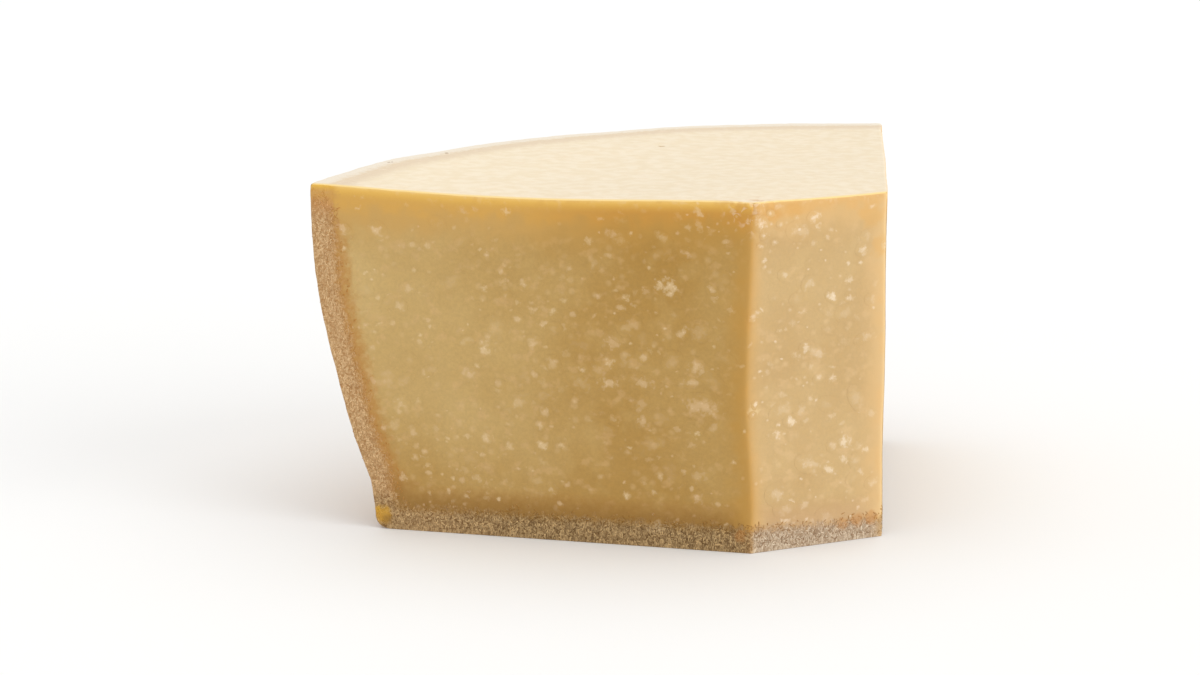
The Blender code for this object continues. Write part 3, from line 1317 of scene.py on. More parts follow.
@dataclass(frozen=True)
class CutFinish:
    """Satin cut cheese."""

    tone: PasteTone = PasteTone()
    spots: tuple[Spot, ...] = SPOTS
    gloss: SurfaceGloss = SurfaceGloss(
        roughness=(0.50, 0.75), specular=0.40, bump_depth=0.00012, bump_share=0.4
    )

    def material(self) -> bpy.types.Material:
        """Make the material.

        Returns:
            The material.
        """
        material, graph = new_material("cut_paste")
        place = graph.place()
        colour = self.tone.crumbs(graph, place, self.tone.colour(graph, place))
        for spot in self.spots:
            colour = spot.paint(graph, place, colour)
        fine = graph.noise(place, 0.0014, detail=3.0, roughness=0.6)
        coarse = graph.noise(place, 0.0008, detail=2.0, roughness=0.6, warp=1.0)
        section = graph.spread(graph.share("rind_depth"), 1.05, 0.95)
        height = graph.sum("MULTIPLY_ADD", graph.times(coarse, section), 2.5, fine)
        paste_rough, section_rough = self.gloss.roughness
        rough_here = graph.sum("MULTIPLY_ADD", section, section_rough - paste_rough, paste_rough)
        self.gloss.finish(graph, colour, height, rough_here)
        return material


@dataclass(frozen=True)
class RindFinish:
    """Dry leathery rind, plain and golden tan."""

    tan: Colour = (206, 160, 96)
    deep: Colour = (176, 126, 66)
    dusty: Colour = (222, 186, 132)
    pit: Colour = (134, 92, 46)
    clouds: Patches = Patches(0.034, 0.36, 0.66, detail=4.0, roughness=0.6)
    dust: Patches = Patches(0.0075, 0.50, 0.72, detail=4.0, roughness=0.65)
    pores: Flecks = Flecks(0.0042, 0.20, 0.06, Patches(0.016, 0.45, 0.6))
    gloss: SurfaceGloss = SurfaceGloss(
        roughness=(0.58, 0.73), specular=0.35, bump_depth=0.0005, bump_share=0.6
    )

    def material(self) -> bpy.types.Material:
        """Make the material.

        Returns:
            The material.
        """
        material, graph = new_material("outer_rind")
        place = graph.place()
        tone = graph.blend(self.clouds.read(graph, place), self.tan, self.deep)
        dust = self.dust.read(graph, place)
        tone = graph.tinted(tone, self.dusty, dust, 0.6)
        pores = self.pores.read(graph, place)
        tone = graph.tinted(tone, self.pit, pores, 0.75)
        weave = graph.noise(place, 0.0012, detail=4.0, roughness=0.7)
        tone = graph.scaled(tone, graph.spread(weave, 0.25, 0.75, 0.90, 1.08))
        height = graph.sum("MULTIPLY_ADD", pores, -1.2, graph.times(weave, 0.8))
        self.gloss.finish(graph, tone, height, self.gloss.rough(graph, dust))
        return material


@dataclass(frozen=True)
class CrystalFinish:
    """A pale crystal or a cluster of them, which fades into the paste round its rim."""

    name: str
    bright: Colour = (243, 218, 174)
    pinkish: Colour = (226, 190, 148)
    # Crystals on the tip cut are paled towards this colour by painted light, as the cut around them is.
    painted_light_crystal: Colour = (250, 232, 206)
    core: float = 0.05
    rim: float = 0.72
    waver: float = 0.8
    waver_size: float = 0.0016
    grain_size: float = 0.0010
    haze: float = 0.5
    grain_rims: Ramp = (0.55, 0.12)
    grain_odds: Ramp = (1.10, 0.65)
    strengths: tuple[float, float] = (0.74, 0.80)
    tone: PasteTone = PasteTone()
    gloss: SurfaceGloss = SurfaceGloss((0.50, 0.42), specular=0.4, bump_depth=0.0001, bump_share=0.3)

    def material(self) -> bpy.types.Material:
        """Make the material.

        Returns:
            The material.
        """
        material, graph = new_material(self.name)
        place = graph.place()
        local = graph.mark("lump_place").outputs["Vector"]
        level = graph.vector("MULTIPLY", {0: local, 1: (1.0, 1.0, 0.0)})[0]
        radius = graph.vector("LENGTH", {0: level})["Value"]
        wander = graph.sum("ADD", graph.noise(place, self.waver_size, detail=3.0, roughness=0.65), -0.5)
        radius = graph.sum("MULTIPLY_ADD", wander, self.waver * 2, radius)
        patch = graph.spread(radius, self.rim, self.core)
        cells = graph.cells(place, self.grain_size)
        near = graph.spread(cells.outputs["Distance"], *self.grain_rims)
        draw = graph.add("ShaderNodeSeparateColor", {0: cells.outputs["Color"]}).outputs[0]
        lucky = graph.spread(graph.sum("ADD", draw, radius), *self.grain_odds)
        grains = graph.times(near, lucky)
        mixed = graph.spread(grains, 0.0, 1.0, self.haze, 1.0)
        on_tip = self.tone.tip_share(graph)
        strength = graph.times(graph.share("strength"), graph.spread(on_tip, 0.0, 1.0, *self.strengths))
        share = graph.times(graph.times(patch, mixed), strength)
        crystal = graph.blend(graph.share("tint"), self.pinkish, self.bright)
        # Painted light: crystals on the tip cut pale as the cut around them does.
        crystal = graph.tinted(crystal, self.painted_light_crystal, on_tip, 0.8)
        colour = graph.blend(share, self.tone.colour(graph, place), crystal)
        self.gloss.finish(graph, colour, grains, self.gloss.rough(graph, share))
        return material


@dataclass(frozen=True)
class GrainFinish:
    """The crumbly grains of the cut rind, each a little lighter or darker."""

    dark_share: float = 1.4
    tone: PasteTone = PasteTone()
    spots: tuple[Spot, ...] = SPOTS
    inner_depths: Ramp = (0.70, 1.15, 0.0, 0.82)
    gloss: SurfaceGloss = SurfaceGloss((0.7, 0.8), specular=0.25, bump_depth=0.0001, bump_share=0.4)

    def material(self) -> bpy.types.Material:
        """Make the material.

        Returns:
            The material.
        """
        material, graph = new_material("rind_crumb")
        place = graph.place()
        low = graph.spread(graph.parts(place)[2], *self.tone.foot_heights)
        low = self.tone.paler_heel(graph, place, low)
        tint = graph.sum("POWER", graph.share("tint"), self.dark_share)
        tone = self.tone.rind_tone(graph, tint, low)
        inner = graph.spread(graph.share("rind_depth"), *self.inner_depths)
        tone = graph.blend(inner, tone, self.tone.rind_shade(graph, low))
        tone = self.tone.lit_edges(graph, place, tone, 1.0)
        for spot in self.spots:
            tone = spot.paint(graph, place, tone)
        grain = graph.noise(place, 0.0005, detail=2.0)
        tone = graph.scaled(tone, graph.spread(grain, 0.3, 0.7, 0.94, 1.06))
        self.gloss.finish(graph, tone, grain, self.gloss.rough(graph, grain))
        return material


@dataclass
class LumpTree:
    """A Geometry Nodes tree that sets small flat lumps into a surface."""

    name: str
    source: PointSource
    spokes: int = 10
    rings: int = 2

    def build(self) -> bpy.types.NodeTree:
        """Make the tree, whose one output is the lumps.

        Returns:
            The tree.
        """
        tree = bpy.data.node_groups.new(self.name, "GeometryNodeTree")
        for name, kind in self.inputs().items():
            tree.interface.new_socket(name, in_out="INPUT", socket_type=f"NodeSocket{kind}")
        tree.interface.new_socket("Geometry", in_out="OUTPUT", socket_type="NodeSocketGeometry")
        graph = NodeGraph(tree)
        given = graph.add("NodeGroupInput").outputs
        if self.source is PointSource.MARKS:
            points, rotation, size = self.marked(graph, given)
        else:
            points, rotation, size = self.spread(graph, given)
        local = graph.add("GeometryNodeInputPosition").outputs[0]
        placed = self.store(graph, self.lump(graph), "lump_place", local, "FLOAT_VECTOR")
        lumps = graph.add("GeometryNodeInstanceOnPoints", {
            "Points": points, "Instance": placed, "Rotation": rotation, "Scale": size,
        })
        real = graph.add("GeometryNodeRealizeInstances", {"Geometry": lumps.outputs[0]})
        shaped = self.uneven(graph, real.outputs[0], given)
        if self.source is PointSource.MARKS:
            shaped = self.settled(graph, shaped, given)
        smooth = graph.add("GeometryNodeSetShadeSmooth", {0: shaped})
        dressed = graph.add(
            "GeometryNodeSetMaterial", {"Geometry": smooth.outputs[0], "Material": given["Material"]}
        )
        graph.add("NodeGroupOutput", {"Geometry": dressed.outputs[0]})
        return tree

    def inputs(self) -> dict[str, str]:
        """Give the kinds of the tree's inputs by name.

        Returns:
            The kinds by name.
        """
        own = {
            PointSource.MARKS: {"Surface": "Object", "Sunk": "Float"},
            PointSource.SURFACE: {
                "Spacing": "Float", "Density": "Float", "Seed": "Int", "Smallest": "Vector",
                "Largest": "Vector",
            },
        }
        unevenness = {"Unevenness": "Float", "Unevenness Size": "Float"}
        return {"Geometry": "Geometry", **own[self.source], **unevenness, "Material": "Material"}

    def lump(self, graph: NodeGraph) -> Socket:
        """Make one lump: a ringed disc to lay along a surface, or a small ball for a crumb.

        Args:
            graph: The tree's nodes.

        Returns:
            The lump's mesh.
        """
        if self.source is PointSource.SURFACE:
            return graph.add("GeometryNodeMeshIcoSphere", {"Radius": 1.0, "Subdivisions": 1}).outputs[0]
        disc = {"Vertices": self.spokes, "Fill Segments": self.rings, "Radius": 1.0, "Depth": 0.02}
        return graph.add("GeometryNodeMeshCylinder", disc, fill_type="TRIANGLE_FAN").outputs[0]

    @staticmethod
    def read(graph: NodeGraph, name: str, kind: str) -> Socket:
        """Read one of the points' own attributes."""
        return graph.add("GeometryNodeInputNamedAttribute", {"Name": name}, data_type=kind).outputs[0]

    @staticmethod
    def sampled(graph: NodeGraph, surface: Socket, value: Socket, kind: str) -> Socket:
        """Read a value where a surface lies nearest."""
        inputs = {"Mesh": surface, "Value": value}
        return graph.add("GeometryNodeSampleNearestSurface", inputs, data_type=kind).outputs[0]

    @staticmethod
    def store(graph: NodeGraph, geometry: Socket, name: str, value: Socket, kind: str) -> Socket:
        """Keep a value on every point of a mesh, and give the mesh.

        Args:
            graph: The tree's nodes.
            geometry: The mesh.
            name: The attribute's name.
            value: The value.
            kind: Its data type.

        Returns:
            The mesh with the value.
        """
        inputs = {"Geometry": geometry, "Name": name, "Value": value}
        return graph.add(
            "GeometryNodeStoreNamedAttribute", inputs, data_type=kind, domain="POINT"
        ).outputs[0]

    def marked(self, graph: NodeGraph, given: object) -> tuple[Socket, Socket, Socket]:
        """Take points that carry their own direction, spin and size.

        Args:
            graph: The tree's nodes.
            given: The tree's inputs.

        Returns:
            The points, their rotations and their sizes.
        """
        upright = graph.add(
            "FunctionNodeAlignRotationToVector",
            {"Vector": self.read(graph, "facing", "FLOAT_VECTOR")},
            axis="Z",
        )
        turned = self.spun(graph, upright.outputs[0], self.read(graph, "spin", "FLOAT"))
        return given["Geometry"], turned, self.read(graph, "size", "FLOAT_VECTOR")

    def spread(self, graph: NodeGraph, given: object) -> tuple[Socket, Socket, Socket]:
        """Spread points over a surface, more of them where its grain share is high.

        Args:
            graph: The tree's nodes.
            given: The tree's inputs.

        Returns:
            The points, their rotations and their sizes.
        """
        spread = graph.add("GeometryNodeDistributePointsOnFaces", {
            "Mesh": given["Geometry"],
            "Distance Min": given["Spacing"],
            "Density Max": given["Density"],
            "Density Factor": self.read(graph, "grain_share", "FLOAT"),
            "Seed": given["Seed"],
        }, distribute_method="POISSON")
        tint = graph.add("FunctionNodeRandomValue", {"Seed": given["Seed"]}, data_type="FLOAT")
        tinted = self.store(graph, spread.outputs["Points"], "tint", tint.outputs[1], "FLOAT")
        shifted = graph.sum("ADD", given["Seed"], 1.0)
        angle = graph.add("FunctionNodeRandomValue", {3: math.tau, "Seed": shifted}, data_type="FLOAT")
        turned = self.spun(graph, spread.outputs["Rotation"], angle.outputs[1])
        size = graph.add("FunctionNodeRandomValue", {
            0: given["Smallest"], 1: given["Largest"], "Seed": graph.sum("ADD", given["Seed"], 2.0),
        }, data_type="FLOAT_VECTOR")
        return tinted, turned, size.outputs[0]

    @staticmethod
    def spun(graph: NodeGraph, rotation: Socket, angle: Socket) -> Socket:
        """Turn a rotation by an angle about the direction that it faces."""
        spin = graph.add("FunctionNodeAxisAngleToRotation", {"Angle": angle})
        turn = {"Rotation": rotation, "Rotate By": spin.outputs[0]}
        return graph.add("FunctionNodeRotateRotation", turn, rotation_space="LOCAL").outputs[0]

    def settled(self, graph: NodeGraph, lumps: Socket, given: object) -> Socket:
        """Lay the lumps along the surface, raised in the middle and sunk at the rim.

        Args:
            graph: The tree's nodes.
            lumps: The separate lumps.
            given: The tree's inputs.

        Returns:
            The lumps, each bent to the surface under it.
        """
        surface = graph.add("GeometryNodeObjectInfo", {"Object": given["Surface"]}).outputs["Geometry"]
        nearest = graph.add("GeometryNodeProximity", {0: surface}, target_element="FACES")
        outward = graph.add("GeometryNodeInputNormal").outputs[0]
        normal = self.sampled(graph, surface, outward, "FLOAT_VECTOR")
        local = self.read(graph, "lump_place", "FLOAT_VECTOR")
        parts = graph.parts(local)
        squares = [graph.times(part, part) for part in (parts[0], parts[1])]
        across = graph.sum("ADD", *squares)
        inside = graph.sum("MAXIMUM", graph.sum("SUBTRACT", 1.0, across), 0.0)
        thickness = graph.parts(self.read(graph, "size", "FLOAT_VECTOR"))[2]
        raised = graph.times(graph.times(inside, inside), thickness)
        upper = graph.sum("SUBTRACT", raised, graph.times(across, given["Sunk"]))
        lower = graph.times(graph.sum("ADD", inside, 2.0), graph.times(given["Sunk"], -1.0))
        above = graph.sum("GREATER_THAN", parts[2], 0.0)
        height = graph.add("ShaderNodeMix", {0: above, 2: lower, 3: upper}, data_type="FLOAT").outputs[0]
        lift = graph.scaled(normal, height)
        place = graph.vector("ADD", {0: nearest.outputs["Position"], 1: lift})[0]
        for name in CARRIED:
            found = self.sampled(graph, surface, self.read(graph, name, "FLOAT"), "FLOAT")
            lumps = self.store(graph, lumps, name, found, "FLOAT")
        return graph.add("GeometryNodeSetPosition", {"Geometry": lumps, "Position": place}).outputs[0]

    @staticmethod
    def uneven(graph: NodeGraph, lumps: Socket, given: object) -> Socket:
        """Push the lumps' surfaces in and out, so that no two are alike.

        Args:
            graph: The tree's nodes.
            lumps: The lumps.
            given: The tree's inputs.

        Returns:
            The uneven lumps.
        """
        inverse = graph.sum("DIVIDE", 1.0, given["Unevenness Size"])
        pattern = graph.add("ShaderNodeTexNoise", {
            "Vector": graph.add("GeometryNodeInputPosition").outputs[0],
            "Scale": inverse,
            "Detail": 1.0,
        })
        centred = graph.vector("SUBTRACT", {0: pattern.outputs["Color"], 1: (0.5, 0.5, 0.5)})[0]
        offset = graph.scaled(centred, given["Unevenness"])
        return graph.add("GeometryNodeSetPosition", {"Geometry": lumps, "Offset": offset}).outputs[0]


def bake(
    name: str, mesh: bpy.types.Mesh, tree: bpy.types.NodeTree, values: dict[str, object]
) -> bpy.types.Object:
    """Run a tree on a mesh and keep the result as a plain mesh.

    Args:
        name: The piece's name.
        mesh: What the tree starts from.
        tree: The Geometry Nodes tree.
        values: The tree's inputs by name.

    Returns:
        The piece, at the origin, without a modifier.
    """
    carrier = placed(f"{name}_source", mesh)
    modifier = carrier.modifiers.new("lumps", "NODES")
    modifier.node_group = tree
    sockets = {
        item.name: item.identifier
        for item in tree.interface.items_tree
        if item.item_type == "SOCKET" and item.in_out == "INPUT"
    }
    for key, value in values.items():
        modifier[sockets[key]] = value
    depsgraph = bpy.context.evaluated_depsgraph_get()
    made = bpy.data.meshes.new_from_object(
        carrier.evaluated_get(depsgraph), preserve_all_data_layers=True, depsgraph=depsgraph
    )
    made.name = name
    made.set_sharp_from_angle(angle=LUMP_SHARP_ANGLE)
    bpy.data.objects.remove(carrier, do_unlink=True)
    return placed(name, made)


@dataclass
class Marks:
    """Places in the surface for lumps, with their direction, spin, size and looks."""

    place: np.ndarray
    facing: np.ndarray
    spin: np.ndarray
    size: np.ndarray
    tint: np.ndarray
    strength: np.ndarray
    carried: dict[str, np.ndarray]

    def to_mesh(self, name: str) -> bpy.types.Mesh:
        """Make a mesh of loose points that carry everything as attributes.

        Args:
            name: The mesh's name.

        Returns:
            The mesh.
        """
        mesh = bpy.data.meshes.new(name)
        mesh.from_pydata(self.place.tolist(), [], [])
        for key, values in (("facing", self.facing), ("size", self.size)):
            mesh.attributes.new(key, "FLOAT_VECTOR", "POINT").data.foreach_set("vector", values.ravel())
        numbers = {"spin": self.spin, "tint": self.tint, "strength": self.strength, **self.carried}
        for key, values in numbers.items():
            mesh.attributes.new(key, "FLOAT", "POINT").data.foreach_set("value", values)
        return mesh

    @staticmethod
    def joined(parts: Sequence["Marks"]) -> "Marks":
        """Put several sets of marks together.

        Args:
            parts: The sets.

        Returns:
            One set.
        """
        rows = {
            key: np.concatenate([getattr(part, key) for part in parts])
            for key in ("place", "facing", "spin", "size", "tint", "strength")
        }
        carried = {key: np.concatenate([part.carried[key] for part in parts]) for key in CARRIED}
        return Marks(**rows, carried=carried)


class BodySurface:
    """The wedge's triangles, for drawing places on its cut faces."""

    def __init__(self, body: bpy.types.Object) -> None:
        """Read the wedge's triangles, directions and attributes.

        Args:
            body: The wedge.
        """
        mesh = body.data
        mesh.calc_loop_triangles()
        count = len(mesh.loop_triangles)
        corners = np.empty(count * 3, dtype=np.int32)
        mesh.loop_triangles.foreach_get("vertices", corners)
        self.corners = corners.reshape(-1, 3)
        self.points = self.read(mesh.vertices, "co", len(mesh.vertices), 3)
        self.facing = self.read(mesh.loop_triangles, "normal", count, 3)
        self.area = self.read(mesh.loop_triangles, "area", count, 1)[:, 0]
        self.marks = {
            name: self.read(mesh.attributes[name].data, "value", len(mesh.vertices), 1)[:, 0]
            for name in (*CARRIED, "crystal_share")
        }

    @staticmethod
    def read(collection: object, name: str, count: int, width: int) -> np.ndarray:
        """Read one property of a mesh's parts into rows."""
        values = np.empty(count * width, dtype=np.float32)
        collection.foreach_get(name, values)
        return values.reshape(count, width).astype(float)

    def draw(self, rng: np.random.Generator, per_area: float, spacing: float) -> tuple[np.ndarray, ...]:
        """Draw places on the cut faces, by the wedge's crystal share.

        Args:
            rng: The source of random numbers.
            per_area: How many to draw on a square metre where the share is 1.
            spacing: The least distance between two places.

        Returns:
            The places, each one's triangle, and its weights for the triangle's corners.
        """
        share = self.marks["crystal_share"][self.corners].mean(axis=1)
        weight = self.area * share
        count = round(per_area * weight.sum())
        triangle = rng.choice(len(weight), size=count, p=weight / weight.sum())
        first, second = rng.random(count), rng.random(count)
        over = first + second > 1
        first[over], second[over] = 1 - first[over], 1 - second[over]
        weights = np.stack([1 - first - second, first, second], axis=1)
        places = (self.points[self.corners[triangle]] * weights[..., None]).sum(axis=1)
        kept = self.spaced(places, spacing)
        return places[kept], triangle[kept], weights[kept]

    @staticmethod
    def spaced(places: np.ndarray, spacing: float) -> list[int]:
        """Keep the places that lie far enough from those kept before them.

        Args:
            places: The places, in order.
            spacing: The least distance between two.

        Returns:
            The numbers of the places that stay.
        """
        held: dict[tuple[int, ...], list[int]] = {}
        kept = []
        for index, place in enumerate(places):
            cell = tuple((place // spacing).astype(int))
            near = (
                other
                for di in (-1, 0, 1)
                for dj in (-1, 0, 1)
                for dk in (-1, 0, 1)
                for other in held.get((cell[0] + di, cell[1] + dj, cell[2] + dk), ())
            )
            if any(np.linalg.norm(places[other] - place) < spacing for other in near):
                continue
            held.setdefault(cell, []).append(index)
            kept.append(index)
        return kept

    def carried(self, triangle: np.ndarray, weights: np.ndarray) -> dict[str, np.ndarray]:
        """Read the wedge's own attributes at drawn places."""
        corners = self.corners[triangle]
        return {name: (self.marks[name][corners] * weights).sum(axis=1) for name in CARRIED}

    def nearest(self, places: np.ndarray) -> tuple[np.ndarray, np.ndarray]:
        """Find the triangle whose middle lies nearest to each place."""
        middles = self.points[self.corners].mean(axis=1)
        triangle = np.array([np.argmin(((middles - place) ** 2).sum(axis=1)) for place in places])
        return triangle, np.full((len(places), 3), 1 / 3)


@dataclass
class CrystalScatter:
    """One kind of crystal, drawn over all the cut faces."""

    name: str
    seed: int
    per_area: float
    spacing: float
    width: tuple[float, float]
    stretch: tuple[float, float]
    thickness: float
    strength: tuple[float, float]
    finish: CrystalFinish
    spokes: int = 10
    rings: int = 2
    sunk: float = 0.000012
    unevenness: float = 0.0006
    unevenness_size: float = 0.0012
    tilt: float = 0.5
    small_bias: float = 1.8
    round_bias: float = 2.0
    faint_bias: float = 1.6
    thinnest: float = 0.8
    thickness_swing: float = 0.4
    level_limit: float = 0.5

    @staticmethod
    def drawn(rng: np.random.Generator, count: int, limits: tuple[float, float], bias: float) -> np.ndarray:
        """Draw numbers between two limits, nearer to the first one with a stronger bias."""
        return limits[0] + (limits[1] - limits[0]) * rng.random(count) ** bias

    def marks(self, surface: BodySurface) -> Marks:
        """Draw where the crystals lie and how large each is.

        Args:
            surface: The wedge's surface.

        Returns:
            The marks.
        """
        rng = np.random.default_rng(self.seed)
        place, triangle, weights = surface.draw(rng, self.per_area, self.spacing)
        count = len(place)
        facing = surface.facing[triangle]
        half = 0.5 * self.drawn(rng, count, self.width, self.small_bias)
        longer = self.drawn(rng, count, self.stretch, self.round_bias)
        thick = self.thickness * (self.thinnest + self.thickness_swing * rng.random(count))
        size = np.stack([half * np.sqrt(longer), half / np.sqrt(longer), thick], axis=1)
        strong = self.drawn(rng, count, self.strength, self.faint_bias)
        level = np.arctan2(facing[:, 0], -facing[:, 1]) * (np.abs(facing[:, 2]) < self.level_limit)
        return Marks(
            place=place,
            facing=facing,
            spin=level + self.tilt * rng.normal(size=count),
            size=size,
            tint=rng.random(count),
            strength=strong,
            carried=surface.carried(triangle, weights),
        )

    def build(
        self, body: bpy.types.Object, surface: BodySurface, more: Sequence[Marks] = ()
    ) -> bpy.types.Object:
        """Make the crystals as one piece.

        Args:
            body: The wedge.
            surface: The wedge's surface.
            more: Marks of other crystals that belong in the same piece.

        Returns:
            The piece.
        """
        marks = Marks.joined([self.marks(surface), *more])
        tree = LumpTree(f"{self.name}_tree", PointSource.MARKS, self.spokes, self.rings).build()
        return bake(self.name, marks.to_mesh(f"{self.name}_marks"), tree, {
            "Surface": body,
            "Sunk": self.sunk,
            "Unevenness": self.unevenness,
            "Unevenness Size": self.unevenness_size,
            "Material": self.finish.material(),
        })


@dataclass
class RindGrains:
    """The crumbly grains that stand out of the cut rind."""

    spacing: float = 0.00072
    density: float = 5.0e6
    smallest: tuple[float, float, float] = (0.00034, 0.00017, 0.00014)
    largest: tuple[float, float, float] = (0.00100, 0.00030, 0.00024)
    unevenness: float = 0.0002
    unevenness_size: float = 0.0008
    seed: int = 31
    finish: GrainFinish = GrainFinish()

    def build(self, body: bpy.types.Object) -> bpy.types.Object:
        """Spread the grains over the wedge's rind section.

        Args:
            body: The wedge.

        Returns:
            The piece.
        """
        tree = LumpTree("rind_grain_tree", PointSource.SURFACE).build()
        return bake("rind_grains", body.data.copy(), tree, {
            "Spacing": self.spacing,
            "Density": self.density,
            "Smallest": self.smallest,
            "Largest": self.largest,
            "Unevenness": self.unevenness,
            "Unevenness Size": self.unevenness_size,
            "Seed": self.seed,
            "Material": self.finish.material(),
        })


@dataclass
class Studio:
    """The pale floor, the soft lights and the camera."""

    floor_radius: float = 4.0
    floor_sides: int = 96
    floor_height: float = -0.0001
    floor_colour: Colour = (244, 244, 243)
    floor_cloud: Colour = (242, 242, 241)
    floor_cloud_size: float = 0.30
    floor_gloss: SurfaceGloss = SurfaceGloss((0.88, 0.92), specular=0.1, bump_share=0.0)
    air: float = 0.72
    overhead_power: float = 1.0
    overhead_from: tuple[float, float, float] = (0.05, 0.12, 1.0)
    overhead_spread: float = math.radians(75)
    side_power: float = 1.0
    side_from: tuple[float, float, float] = (1.0, -0.25, 0.36)
    side_spread: float = math.radians(50)
    eye: tuple[float, float, float] = (0.291335, -1.204515, 0.3160)
    look_down: float = math.radians(11.942)
    look_left: float = math.radians(14.51)
    lens: float = 99.49
    sensor_width: float = 36.0
    nearest_seen: float = 0.01

    def build(self) -> None:
        """Set up everything round the wedge."""
        self.floor()
        self.sky()
        self.soft_light("overhead_light", self.overhead_from, self.overhead_spread, self.overhead_power)
        self.soft_light("side_light", self.side_from, self.side_spread, self.side_power)
        self.camera()
        view = bpy.context.scene.view_settings
        view.view_transform = "Standard"
        view.look = "None"
        view.exposure = 0.0
        view.gamma = 1.0

    def floor(self) -> None:
        """Lay the floor."""
        bearings = [math.tau * step / self.floor_sides for step in range(self.floor_sides)]
        corners = [
            (self.floor_radius * math.cos(bearing), self.floor_radius * math.sin(bearing), self.floor_height)
            for bearing in bearings
        ]
        mesh = bpy.data.meshes.new("pale_floor")
        mesh.from_pydata(corners, [], [list(range(self.floor_sides))])
        material, graph = new_material("pale_floor")
        place = graph.place()
        soft = graph.noise(place, self.floor_cloud_size)
        colour = graph.blend(soft, self.floor_colour, self.floor_cloud)
        self.floor_gloss.finish(graph, colour, soft, self.floor_gloss.rough(graph, soft))
        mesh.materials.append(material)
        floor = placed("pale_floor", mesh)

    def sky(self) -> None:
        """Fill the room with even white light."""
        world = bpy.data.worlds.new("studio_air")
        world.use_nodes = True
        graph = NodeGraph(world.node_tree)
        light = graph.add("ShaderNodeBackground", {"Color": (1.0, 1.0, 1.0, 1.0), "Strength": self.air})
        graph.add("ShaderNodeOutputWorld", {"Surface": light.outputs[0]})
        bpy.context.scene.world = world

    @staticmethod
    def soft_light(name: str, source: tuple[float, float, float], spread: float, power: float) -> None:
        """Shine one wide, even light at the wedge.

        Args:
            name: The light's name.
            source: The direction that it comes from.
            spread: The angle that it fills, seen from the wedge.
            power: Its strength in watts on a square metre.
        """
        light = bpy.data.lights.new(name, "SUN")
        light.angle = spread
        light.energy = power
        lamp = placed(name, light)
        lamp.location = source
        lamp.rotation_euler = (-Vector(source)).to_track_quat("-Z", "Y").to_euler()

    def camera(self) -> None:
        """Set the camera at the photograph's viewing angle."""
        data = bpy.data.cameras.new("studio_camera")
        data.lens = self.lens
        data.sensor_width = self.sensor_width
        data.clip_start = self.nearest_seen
        camera = placed("studio_camera", data)
        camera.location = self.eye
        camera.rotation_euler = (math.pi / 2 - self.look_down, 0.0, self.look_left)
        bpy.context.scene.camera = camera


@dataclass(frozen=True)
class Cluster:
    """A crystal cluster that stands out, placed on one of the upright cuts.

    Its place is measured in millimetres: on the front cut from the model's middle along +X, on the tip
    cut from the front edge, and upwards from the underside.
    """

    side: Side
    across: float
    up: float
    width: float
    stretch: float = 1.2
    spin: float = 0.3
    strength: float = 0.9
    tint: float = 0.5

    def place(self, form: WheelForm) -> np.ndarray:
        """Give its place in the model's frame."""
        if self.side is Side.FRONT:
            return np.array([self.across / MILLIMETRES, form.axis_foot[1], self.up / MILLIMETRES])
        return form.on_tip(self.across, self.up)


def cluster_marks(clusters: Sequence[Cluster], surface: BodySurface, form: WheelForm) -> Marks:
    """Set the clusters that stand out into the surface.

    Args:
        clusters: The clusters.
        surface: The wedge's surface.
        form: The wedge's form.

    Returns:
        Their marks.
    """
    places = np.array([cluster.place(form) for cluster in clusters])
    triangle, weights = surface.nearest(places)
    half = np.array([cluster.width / 2 / MILLIMETRES for cluster in clusters])
    longer = np.sqrt([cluster.stretch for cluster in clusters])
    return Marks(
        place=places,
        facing=surface.facing[triangle],
        spin=np.array([cluster.spin for cluster in clusters]),
        size=np.stack([half * longer, half / longer, np.full(len(half), CLUSTER_THICKNESS)], axis=1),
        tint=np.array([cluster.tint for cluster in clusters]),
        strength=np.array([cluster.strength for cluster in clusters]),
        carried=surface.carried(triangle, weights),
    )


